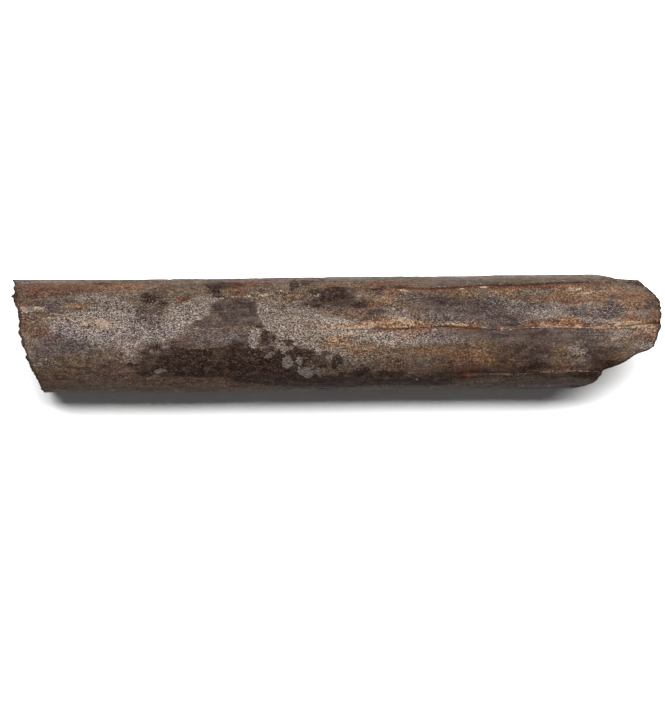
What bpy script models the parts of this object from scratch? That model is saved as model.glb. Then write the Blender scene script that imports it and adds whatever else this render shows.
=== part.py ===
"""A fossil pterosaur wing bone: the middle of one shaft, broken across at both ends, the hollow
inside it filled with stone when it was buried. It is one solid, lying on its flattened underside.

Metres, +Z up. +X runs along the shaft, from the squarely broken end to the end with the tongue.
The origin is under the middle of the bounding box, on the plane that the bone rests on.
"""

import math

import bmesh
import bpy
from mathutils import noise

MM = 0.001

# Driving dimensions, in millimetres.
LENGTH = 150.0  # from the tip of the tongue to the furthest point of the other break
WIDTH = 26.05  # across the shaft, seen from above
EQUATOR = 10.2  # height of the widest line of the shaft above the plane it rests on
CROWN = 11.2  # from the widest line up to the crest
KEEL = 10.65  # from the widest line down to the underside, before the flat is worn on it
FULL_ABOVE = 2.05  # exponent of the rounded upper half: 2 is an ellipse
FULL_BELOW = 2.4  # exponent of the boxier lower half
WALL = 0.07  # thickness of the bone wall where it is broken square, as a share of the height
BREAK_RELIEF = 0.7  # unevenness of the broken faces

# Mesh of the shaft: divisions along it, and along each quarter of its girth.
ALONG, QUARTER = 50, 16

# The long lines of the shaft, by station along it as a share of LENGTH: how far its middle lies
# to the +Y side, how much wider it is than WIDTH, and how much higher its crest is than CROWN.
BOW = ((-0.50, -0.53), (-0.30, -0.48), (-0.21, -0.40), (-0.09, -0.10), (0.01, 0.11), (0.16, 0.23), (0.29, 0.42), (0.50, 0.43))
SPREAD = ((-0.50, 0.0), (-0.09, 0.1), (0.16, -0.25), (0.30, 0.05), (0.50, 0.2))
CREST = ((-0.50, -0.1), (-0.27, 0.15), (0.0, 0.1), (0.23, -0.15), (0.50, -0.55))

# Each break seen from above: place across the shaft (1 is its +Y edge and -1 its -Y edge), and
# how far the break has drawn back there from that end of LENGTH.
PLAIN_BREAK = (
    (-1.00, 7.6),
    (-0.90, 6.6),
    (-0.80, 5.9),
    (-0.60, 4.6),
    (-0.38, 3.3),
    (-0.18, 2.6),
    (-0.05, 2.3),
    (0.02, 1.6),
    (0.42, 1.5),
    (0.60, 0.8),
    (0.70, 0.0),
    (0.80, 0.7),
    (1.00, 0.5),
)
TONGUE_BREAK = (
    (-1.00, 20.3),
    (-0.96, 17.6),
    (-0.90, 15.8),
    (-0.82, 14.6),
    (-0.68, 13.6),
    (-0.62, 11.6),
    (-0.48, 8.1),
    (-0.40, 6.0),
    (-0.33, 3.7),
    (-0.26, 1.9),
    (-0.10, 1.0),
    (0.10, 0.5),
    (0.40, 0.0),
    (0.50, 0.2),
    (0.60, 1.2),
    (0.70, 2.2),
    (0.80, 3.6),
    (0.88, 4.9),
    (0.905, 6.5),
    (0.92, 10.0),
    (0.955, 11.6),
    (1.00, 15.5),
)
# Where the same two breaks meet the underside, and how fast they draw back on the way down to it.
PLAIN_UNDER = ((-1.0, 7.6), (-0.5, 5.4), (0.0, 3.8), (0.5, 2.7), (1.0, 0.5))
TONGUE_UNDER = ((-1.0, 20.3), (-0.6, 17.4), (-0.2, 15.6), (0.2, 16.6), (0.6, 14.8), (1.0, 15.5))
PLAIN_SLOPE, TONGUE_SLOPE = 1.3, 1.8


def along_curve(points, at):
    """A value read between the rows of a table, in straight runs."""
    if at <= points[0][0]:
        return points[0][1]
    for low, high in zip(points, points[1:]):
        if at <= high[0]:
            return low[1] + (at - low[0]) / (high[0] - low[0]) * (high[1] - low[1])
    return points[-1][1]


def eased_curve(points, at):
    """The same, with the corners eased, for the long lines of the shaft."""
    if at <= points[0][0]:
        return points[0][1]
    for low, high in zip(points, points[1:]):
        if at <= high[0]:
            share = (at - low[0]) / (high[0] - low[0])
            share = share * share * (3 - 2 * share)
            return low[1] + share * (high[1] - low[1])
    return points[-1][1]


def round_the_square(a, b):
    """The place (a, b) in a square as (radius from 0 to 1, angle), so that its rim is a circle."""
    radius = max(abs(a), abs(b))
    if radius < 1e-9:
        return 0.0, 0.0
    if abs(a) >= abs(b):
        angle = math.pi / 4 * b / a + (0 if a > 0 else math.pi)
    else:
        angle = math.pi / 2 - math.pi / 4 * a / b + (0 if b > 0 else math.pi)
    return radius, angle


def power(value, exponent):
    return math.copysign(abs(value) ** exponent, value)


def section(angle):
    """A point on the unit cross-section: (across, up), each from -1 to 1."""
    full = FULL_ABOVE if math.sin(angle) > 0 else FULL_BELOW
    return power(math.cos(angle), 2 / full), power(math.sin(angle), 2 / full)


def depth(across, up):
    """How far a place in the section lies below the upper surface: 0 on it, 1 on the underside."""
    left = max(0.0, 1 - abs(across) ** 2.2) ** (1 / 2.2)
    return min(1.0, max(0.0, 0.5 - 0.5 * up / left)) if left > 1e-6 else 0.5


def drawn_back(top, under, slope, across, up):
    """How far a break has drawn back from its end of the shaft at a place in the section."""
    below_wall = max(0.0, (depth(across, up) - WALL) / (1 - WALL))
    share = 1 - (1 - below_wall) ** slope
    high, low = along_curve(top, across), along_curve(under, across)
    inside = max(0.0, 1 - across * across - up * up)
    rough = noise.fractal((across * 3.1, up * 3.1, slope), 0.9, 2.1, 4)
    return high + (low - high) * share + BREAK_RELIEF * rough * min(1.0, 4 * inside)


def wing_bone():
    """A box cut into a grid, with each cut across it made round and each end made a break."""
    mesh = bpy.data.meshes.new("wing_bone")
    grid = bmesh.new()
    bmesh.ops.create_cube(grid, size=2.0)
    for axis, cuts in ((0, ALONG - 1), (1, QUARTER - 1), (2, QUARTER - 1)):
        runs = [
            edge
            for edge in grid.edges
            if abs(edge.verts[0].co[axis] - edge.verts[1].co[axis]) > 1e-5
        ]
        bmesh.ops.subdivide_edges(grid, edges=runs, cuts=cuts, use_grid_fill=True)
    for vertex in grid.verts:
        t, a, b = vertex.co
        radius, angle = round_the_square(a, b)
        rim_across, rim_up = section(angle)
        across, up = radius * rim_across, radius * rim_up
        start = -LENGTH / 2 + drawn_back(PLAIN_BREAK, PLAIN_UNDER, PLAIN_SLOPE, across, up)
        end = LENGTH / 2 - drawn_back(TONGUE_BREAK, TONGUE_UNDER, TONGUE_SLOPE, across, up)
        # Rings lie closer together towards the breaks.
        share = 0.5 + 0.5 * (0.55 * t + 0.45 * math.sin(t * math.pi / 2))
        x = start + (end - start) * share
        station = x / LENGTH
        half = (WIDTH + eased_curve(SPREAD, station)) / 2
        y = eased_curve(BOW, station) + across * half
        if rim_up > 0:
            z = EQUATOR + up * (CROWN + eased_curve(CREST, station))
        else:
            z = max(0.0, EQUATOR + up * KEEL)
        vertex.co = (x * MM, y * MM, z * MM)
    bmesh.ops.recalc_face_normals(grid, faces=grid.faces)
    grid.to_mesh(mesh)
    grid.free()
    return bpy.data.objects.new("wing_bone", mesh)


def bone_material():
    """Dark brown fossil bone, dull, with a little polish."""
    material = bpy.data.materials.new("fossil_bone")
    material.use_nodes = True
    shader = material.node_tree.nodes["Principled BSDF"]
    shader.inputs["Base Color"].default_value = (0.105, 0.077, 0.058, 1.0)
    shader.inputs["Roughness"].default_value = 0.62
    shader.inputs["Metallic"].default_value = 0.0
    return material


def main():
    for leftover in list(bpy.data.objects):
        bpy.data.objects.remove(leftover, do_unlink=True)
    collection = bpy.data.collections.new("pterosaur_wing_bone_fossil")
    bpy.context.scene.collection.children.link(collection)
    bone = wing_bone()
    bone.data.materials.append(bone_material())
    collection.objects.link(bone)
    bone.data.shade_smooth()
    bone.data.set_sharp_from_angle(angle=math.radians(40))


main()
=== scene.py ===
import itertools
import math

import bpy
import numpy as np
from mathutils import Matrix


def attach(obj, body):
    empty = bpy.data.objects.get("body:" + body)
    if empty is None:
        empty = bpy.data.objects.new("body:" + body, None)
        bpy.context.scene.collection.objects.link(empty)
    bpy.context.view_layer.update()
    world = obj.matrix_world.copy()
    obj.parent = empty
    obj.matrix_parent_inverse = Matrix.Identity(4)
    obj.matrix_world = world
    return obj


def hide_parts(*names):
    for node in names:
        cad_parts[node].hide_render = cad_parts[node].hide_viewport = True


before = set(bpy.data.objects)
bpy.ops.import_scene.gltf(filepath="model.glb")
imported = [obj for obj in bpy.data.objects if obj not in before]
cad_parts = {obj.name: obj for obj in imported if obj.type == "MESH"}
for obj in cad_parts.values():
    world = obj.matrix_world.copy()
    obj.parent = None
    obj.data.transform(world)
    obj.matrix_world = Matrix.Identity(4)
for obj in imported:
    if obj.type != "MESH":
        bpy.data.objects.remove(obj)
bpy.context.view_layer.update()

# The looks of the pterosaur wing bone fossil: one finely modelled skin that stands for the CAD
# solid, its procedural material, a pale floor, a soft studio light and the camera.
#
# Lengths are in millimetres until the mesh is made. The frame is the CAD's: +X along the bone to
# the tongue, +Y across it, +Z up. Places are given as (u, v) in the 665 x 702 picture, seen from
# straight above, and picture() turns them into places on the bone.

MM = 0.001
PIXEL = 150.0 / 649.0  # millimetres on the bone for one pixel of the picture

# The camera looks straight down from this far above the plane that the picture is scaled in.
CAMERA_X, CAMERA_Y = (332.5 - 336.5) * PIXEL, (333.85 - 351.0) * PIXEL
SCALE_PLANE, CAMERA_OFF = 12.5, 702 * PIXEL * 250 / 36

# ---------------------------------------------------------------- shape, as in the CAD

LENGTH, WIDTH, EQUATOR, CROWN, KEEL = 150.0, 26.05, 10.2, 11.2, 10.65
FULL_ABOVE, FULL_BELOW, WALL = 2.05, 2.4, 0.07
BOW = ((-0.50, -0.44), (-0.30, -0.40), (-0.21, -0.38), (-0.09, -0.06), (0.01, 0.15), (0.16, 0.26), (0.29, 0.52), (0.50, 0.54))
SPREAD = ((-0.50, 0.2), (-0.24, 0.12), (-0.09, 0.16), (0.16, -0.2), (0.30, 0.3), (0.50, 0.45))
CREST = ((-0.50, -0.1), (-0.27, 0.15), (0.0, 0.1), (0.23, -0.15), (0.50, -0.55))
PLAIN_BREAK = (
    (-1.00, 7.3), (-0.96, 7.1), (-0.90, 6.7), (-0.80, 6.1), (-0.60, 4.85), (-0.50, 4.25), (-0.38, 3.4), (-0.28, 3.05), (-0.18, 2.6),
    (-0.06, 2.45), (-0.02, 2.15), (0.08, 1.5), (0.25, 1.85), (0.42, 1.85), (0.52, 1.0), (0.60, 0.65), (0.655, 0.15),
    (0.69, 0.0), (0.72, 0.95), (0.80, 0.85), (0.86, 0.5), (0.93, 0.6), (0.96, 0.35), (0.98, 0.05), (1.00, 0.1),
)
TONGUE_BREAK = (
    (-1.00, 20.3), (-0.96, 17.6), (-0.90, 15.8), (-0.82, 14.6), (-0.74, 13.8), (-0.67, 13.4), (-0.62, 11.4), (-0.55, 9.0),
    (-0.48, 7.6), (-0.40, 6.0), (-0.33, 3.1), (-0.26, 1.45), (-0.15, 1.1), (-0.02, 0.7), (0.05, 0.4), (0.10, 0.2),
    (0.15, 0.45), (0.18, 0.15), (0.24, 0.05), (0.34, 0.2), (0.37, 0.4), (0.40, -0.1), (0.50, 0.15), (0.60, 1.15), (0.70, 2.3), (0.80, 3.7),
    (0.868, 4.7), (0.895, 5.2), (0.908, 5.9), (0.910, 9.0), (0.917, 10.4), (0.952, 11.3), (0.982, 13.2), (1.00, 15.5),
)
PLAIN_UNDER = ((-1.0, 7.6), (-0.5, 5.4), (0.0, 3.8), (0.5, 2.7), (1.0, 0.5))
TONGUE_UNDER = ((-1.0, 20.3), (-0.6, 17.4), (-0.2, 15.6), (0.2, 16.6), (0.6, 14.8), (1.0, 15.5))
PLAIN_SLOPE, TONGUE_SLOPE = 1.3, 1.8

# Divisions of the skin along the bone and along each quarter of its girth: 2 triangles a quad,
# (4 * QUARTER * RINGS + 2 * QUARTER ** 2) quads, under 200,000 triangles.
RINGS, QUARTER = 326, 68

# ---------------------------------------------------------------- small tools


def straight(points, at):
    """A table read in straight runs."""
    places, values = np.array(points, float).T
    return np.interp(at, places, values)


def eased(points, at):
    """A table read with its corners eased."""
    places, values = np.array(points, float).T
    at = np.clip(at, places[0], places[-1])
    k = np.clip(np.searchsorted(places, at, "right") - 1, 0, len(places) - 2)
    share = (at - places[k]) / (places[k + 1] - places[k])
    share = share * share * (3 - 2 * share)
    return values[k] + share * (values[k + 1] - values[k])


def ramp(low, high, value):
    """0 below low, 1 above high, and a smooth rise between them."""
    share = np.clip((value - low) / (high - low), 0, 1)
    return share * share * (3 - 2 * share)


def scramble(cell, seed):
    """A whole number for each lattice cell, with no visible pattern."""
    x, y, z = (cell[..., i].astype(np.int64) for i in range(3))
    h = (x * 374761393 + y * 668265263 + z * 1274126177 + seed * 974634777) & 0xFFFFFFFF
    h = ((h ^ (h >> 13)) * 1103515245) & 0xFFFFFFFF
    h = ((h ^ (h >> 16)) * 2246822519) & 0xFFFFFFFF
    return h ^ (h >> 13)


EDGES_OF_CUBE = np.array(
    [p for p in itertools.product((-1, 0, 1), repeat=3) if sum(map(abs, p)) == 2], float
)


def smooth_noise(at, seed):
    """Gradient noise, about -1 to 1, at an (n, 3) array of places."""
    cell = np.floor(at)
    part = at - cell
    fade = part**3 * (part * (part * 6 - 15) + 10)
    total = np.zeros(len(at))
    for corner in itertools.product((0, 1), repeat=3):
        corner = np.array(corner, float)
        slope = EDGES_OF_CUBE[scramble(cell + corner, seed) % 12]
        weight = np.prod(np.where(corner > 0, fade, 1 - fade), axis=1)
        total += weight * ((part - corner) * slope).sum(1)
    return total


def rough_noise(at, seed, octaves=4, gain=0.5):
    """Several sizes of smooth noise added up, each finer and weaker than the last."""
    total, weight = np.zeros(len(at)), 1.0
    for octave in range(octaves):
        total += weight * smooth_noise(at * 2.03**octave + 17.3 * octave, seed + octave)
        weight *= gain
    return total


def cells(at, seed):
    """For each place, the distance to the nearest scattered point, and that point's own number."""
    base = np.floor(at)
    nearest, number = np.full(len(at), 9.0), np.zeros(len(at))
    for step in itertools.product((-1, 0, 1), repeat=3):
        cell = base + np.array(step, float)
        points = cell + np.stack(
            [(scramble(cell, seed + i) % 4096) / 4096 for i in range(3)], axis=1
        )
        gap = np.sqrt(((points - at) ** 2).sum(1))
        closer = gap < nearest
        nearest = np.where(closer, gap, nearest)
        number = np.where(closer, (scramble(cell, seed + 7) % 4096) / 4096, number)
    return nearest, number


# ---------------------------------------------------------------- places on the bone


def section(angle):
    """The unit cross-section: across and up, each -1 to 1, at an angle from +Y over the top."""
    full = np.where(np.sin(angle) > 0, FULL_ABOVE, FULL_BELOW)
    power = lambda value: np.sign(value) * np.abs(value) ** (2 / full)
    return power(np.cos(angle)), power(np.sin(angle))


# Distance round the skin from the crest, + towards +Y, for each angle from -90 to 270 degrees.
_angles = np.linspace(-math.pi / 2, 1.5 * math.pi, 2881)
_across, _up = section(_angles)
_y, _z = _across * WIDTH / 2, np.maximum(EQUATOR + _up * np.where(_up > 0, CROWN, KEEL), 0)
_girth = np.concatenate([[0], np.cumsum(np.hypot(np.diff(_y), np.diff(_z)))])
GIRTH = _girth[-1]
_girth = np.interp(math.pi / 2, _angles, _girth) - _girth


def girth_at(angle):
    return np.interp(angle, _angles, _girth)


def middle_and_half(x):
    station = x / LENGTH
    return eased(BOW, station), (WIDTH + eased(SPREAD, station)) / 2


def looks_larger(z):
    """How much larger a thing looks at a height, next to one in the plane the picture is scaled in."""
    return CAMERA_OFF / (CAMERA_OFF - (z - SCALE_PLANE))


def picture(u, v):
    """A place in the picture, as millimetres along the bone and the angle round it."""
    x, y = (np.asarray(u, float) - 332.5) * PIXEL, (351.0 - np.asarray(v, float)) * PIXEL
    z = SCALE_PLANE
    for _ in range(3):
        along = CAMERA_X + x / looks_larger(z)
        middle, half = middle_and_half(along)
        across = np.clip((CAMERA_Y + y / looks_larger(z) - middle) / half, -0.995, 0.995)
        z = EQUATOR + CROWN * (1 - np.abs(across) ** FULL_ABOVE) ** (1 / FULL_ABOVE)
    return along, np.arccos(np.sign(across) * np.abs(across) ** (FULL_ABOVE / 2))


# The long cracks, as (u, v) along each: the upper, the middle and the lower one of the side that
# shows, then two on the sides that the picture doesn't show, as (x in mm, angle in degrees).
UPPER = ((12, 287), (200, 285), (330, 288), (345, 287.8), (360, 287.3), (372, 288), (390, 287), (400, 287.6), (412, 287.8),
         (430, 288.8), (450, 288), (462, 287.2), (470, 286), (480, 285), (492, 284.8), (505, 285.3), (515, 284.8), (525, 284.3),
         (545, 283.3), (560, 282.5), (575, 281.9), (600, 281.6), (660, 284))
MIDDLE = ((12, 331), (165, 330.5), (205, 329), (262, 328.8), (300, 329.8), (340, 330), (372, 329.6), (400, 329.1), (412, 328.5),
          (432, 327.5), (445, 326.5), (454, 326.7), (462, 328), (480, 329.4), (500, 330.4), (520, 330), (530, 329.4),
          (540, 328), (550, 327.3), (560, 328), (580, 329.3), (590, 329), (605, 327.6), (628, 326.2), (645, 323.6), (662, 322.6))
LOWER = ((12, 369), (300, 372), (440, 373.4), (480, 373.7), (510, 374.1), (530, 372.7), (550, 371.1), (570, 370.4), (590, 371.2),
         (602, 372.4), (660, 374))
BEHIND = ((-75, -34), (-40, -31), (-10, -36), (20, -32), (50, -37), (75, -34))
UNDER = ((-75, 222), (-50, 226), (-15, 219), (10, 224), (40, 217), (75, 221))


def path(points, seen):
    """A crack as a function from x to the angle round the bone."""
    first, second = np.array(points, float).T
    x, angle = picture(first, second) if seen else (first, np.radians(second))
    return lambda at: np.interp(at, x, angle)


CRACKS = {
    "behind": path(BEHIND, False),
    "upper": path(UPPER, True),
    "middle": path(MIDDLE, True),
    "lower": path(LOWER, True),
    "under": path(UNDER, False),
}
# Columns of the skin that run along each crack, and the angle that they share between them.
CROWDED = {"behind": (8, 0.070), "upper": (10, 0.070), "middle": (14, 0.086), "lower": (10, 0.066), "under": (8, 0.070)}


def crowd(nominal, x):
    """The evenly spaced angles of the grid, drawn together along the cracks."""
    count = 4 * QUARTER
    column = (nominal + math.pi / 2) / (2 * math.pi) * count
    free = count - sum(n for n, _ in CROWDED.values())
    centres = {k: float(f(np.linspace(-70, 60, 27)).mean()) for k, f in CRACKS.items()}
    spans, start = [], -math.pi / 2
    for name, (_, wide) in CROWDED.items():
        spans.append(centres[name] - wide / 2 - start)
        start = centres[name] + wide / 2
    spans.append(1.5 * math.pi - start)
    angle = np.empty_like(column)
    at_column, at_angle = 0.0, np.full_like(column, -math.pi / 2)
    for span, name in zip(spans, [*CROWDED, None]):
        run = free * span / sum(spans)
        if name is None:
            next_angle = np.full_like(column, 1.5 * math.pi)
        else:
            next_angle = CRACKS[name](x) - CROWDED[name][1] / 2
        inside = (column >= at_column - 1e-9) & (column <= at_column + run + 1e-9)
        share = (column - at_column) / run
        angle[inside] = (at_angle + share * (next_angle - at_angle))[inside]
        at_column, at_angle = at_column + run, next_angle
        if name:
            n, wide = CROWDED[name]
            inside = (column >= at_column - 1e-9) & (column <= at_column + n + 1e-9)
            share = (column - at_column) / n
            angle[inside] = (at_angle + share * wide)[inside]
            at_column, at_angle = at_column + n, at_angle + wide
    return angle


def depth(across, up):
    """0 on the upper surface and 1 on the underside."""
    left = np.maximum(1 - np.abs(across) ** 2.2, 0) ** (1 / 2.2)
    return np.where(left > 1e-6, np.clip(0.5 - 0.5 * up / np.maximum(left, 1e-6), 0, 1), 0.5)


def drawn_back(top, under, slope, across, up, seed):
    """How far a break has drawn back: the CAD's form, with finer steps and grains."""
    share = 1 - (1 - np.maximum(0, (depth(across, up) - WALL) / (1 - WALL))) ** slope
    high, low = straight(top, across), straight(under, across)
    inside = np.clip(1 - across**2 - up**2, 0, 1)
    at = np.stack([across * 13, up * 11, np.full_like(across, slope * 9)], axis=1)
    edge = 0.32 * rough_noise(at / 2.1, seed + 20, 4, 0.72)
    edge += 0.45 * ramp(0.18, 0.42, smooth_noise(at / 0.95, seed + 30)) * ramp(-0.3, 0.3, smooth_noise(at / 4.0, seed + 31))
    rough = 0.55 * rough_noise(at / 5.0, seed, 4, 0.55) + 0.25 * rough_noise(at / 1.3, seed + 9, 3, 0.6)
    return high + (low - high) * share + edge + rough * np.minimum(1, 5 * inside)


# ---------------------------------------------------------------- the skin's grid


def grid():
    """Nominal (t, radius, angle) of every point of the skin, and its quads."""
    ring = 4 * QUARTER
    t, radius, angle = [], [], []
    steps = np.linspace(-1, 1, RINGS + 1)
    # Rings stand closer together towards the breaks, and closest in the worn rim.
    along = 0.5 + 0.5 * (0.80 * steps + 0.20 * np.sin(steps * math.pi / 2))
    turn = -math.pi / 4 + np.arange(ring) * 2 * math.pi / ring
    for value in along:
        t.append(np.full(ring, value))
        radius.append(np.ones(ring))
        angle.append(turn)
    inner = np.linspace(-1, 1, QUARTER + 1)[1:-1]
    a, b = (m.ravel() for m in np.meshgrid(inner, inner, indexing="ij"))
    r = np.maximum(np.abs(a), np.abs(b))
    with np.errstate(divide="ignore", invalid="ignore"):
        sideways = math.pi / 4 * b / a + np.where(a > 0, 0, math.pi)
        upright = math.pi / 2 - math.pi / 4 * a / b + np.where(b > 0, 0, math.pi)
    turned = np.where(np.abs(a) >= np.abs(b), sideways, upright)
    turned = np.where(r < 1e-9, 0, turned)
    for value in (0.0, 1.0):
        t.append(np.full(len(a), value))
        radius.append(r)
        angle.append(turned)
    t, radius, angle = map(np.concatenate, (t, radius, angle))
    angle = (angle + math.pi / 2) % (2 * math.pi) - math.pi / 2

    quads = []
    j = np.arange(ring)
    k = (j + 1) % ring
    for i in range(RINGS):
        low, high = i * ring, (i + 1) * ring
        quads.append(np.stack([low + j, low + k, high + k, high + j], axis=1))
    number = np.empty((QUARTER + 1, QUARTER + 1), int)
    steps = np.arange(QUARTER + 1)
    for end, first_of_ring in ((0, 0), (1, RINGS * ring)):
        first_inner = (RINGS + 1) * ring + end * (QUARTER - 1) ** 2
        number[1:-1, 1:-1] = first_inner + np.arange((QUARTER - 1) ** 2).reshape(QUARTER - 1, -1)
        number[QUARTER, steps] = first_of_ring + steps
        number[QUARTER - steps, QUARTER] = first_of_ring + QUARTER + steps
        number[0, QUARTER - steps] = first_of_ring + 2 * QUARTER + steps
        number[steps, 0] = first_of_ring + (3 * QUARTER + steps) % ring
        cap = np.stack([number[:-1, :-1], number[1:, :-1], number[1:, 1:], number[:-1, 1:]], axis=-1).reshape(-1, 4)
        quads.append(cap if end else cap[:, ::-1])
    return t, radius, angle, np.concatenate(quads)


def place(t, radius, nominal):
    """The plain form of the bone at every point of the grid."""
    x = -70 + 135 * t
    for _ in range(3):
        angle = crowd(nominal, x)
        rim_across, rim_up = section(angle)
        across, up = radius * rim_across, radius * rim_up
        start = -LENGTH / 2 + drawn_back(PLAIN_BREAK, PLAIN_UNDER, PLAIN_SLOPE, across, up, 11)
        end = LENGTH / 2 - drawn_back(TONGUE_BREAK, TONGUE_UNDER, TONGUE_SLOPE, across, up, 41)
        # The breaks' outlines are the picture's, so what stands higher is really a little shorter.
        nearer = looks_larger(EQUATOR + np.maximum(up, 0) * CROWN)
        start, end = (CAMERA_X + (place_ - CAMERA_X) / nearer for place_ in (start, end))
        x = start + (end - start) * t
    middle, half = middle_and_half(x)
    y = middle + across * half
    z = EQUATOR + up * np.where(rim_up > 0, CROWN + eased(CREST, x / LENGTH), KEEL)
    return np.stack([x, y, z], axis=1), angle, across, up, x - start, end - x


# ---------------------------------------------------------------- markings

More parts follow.
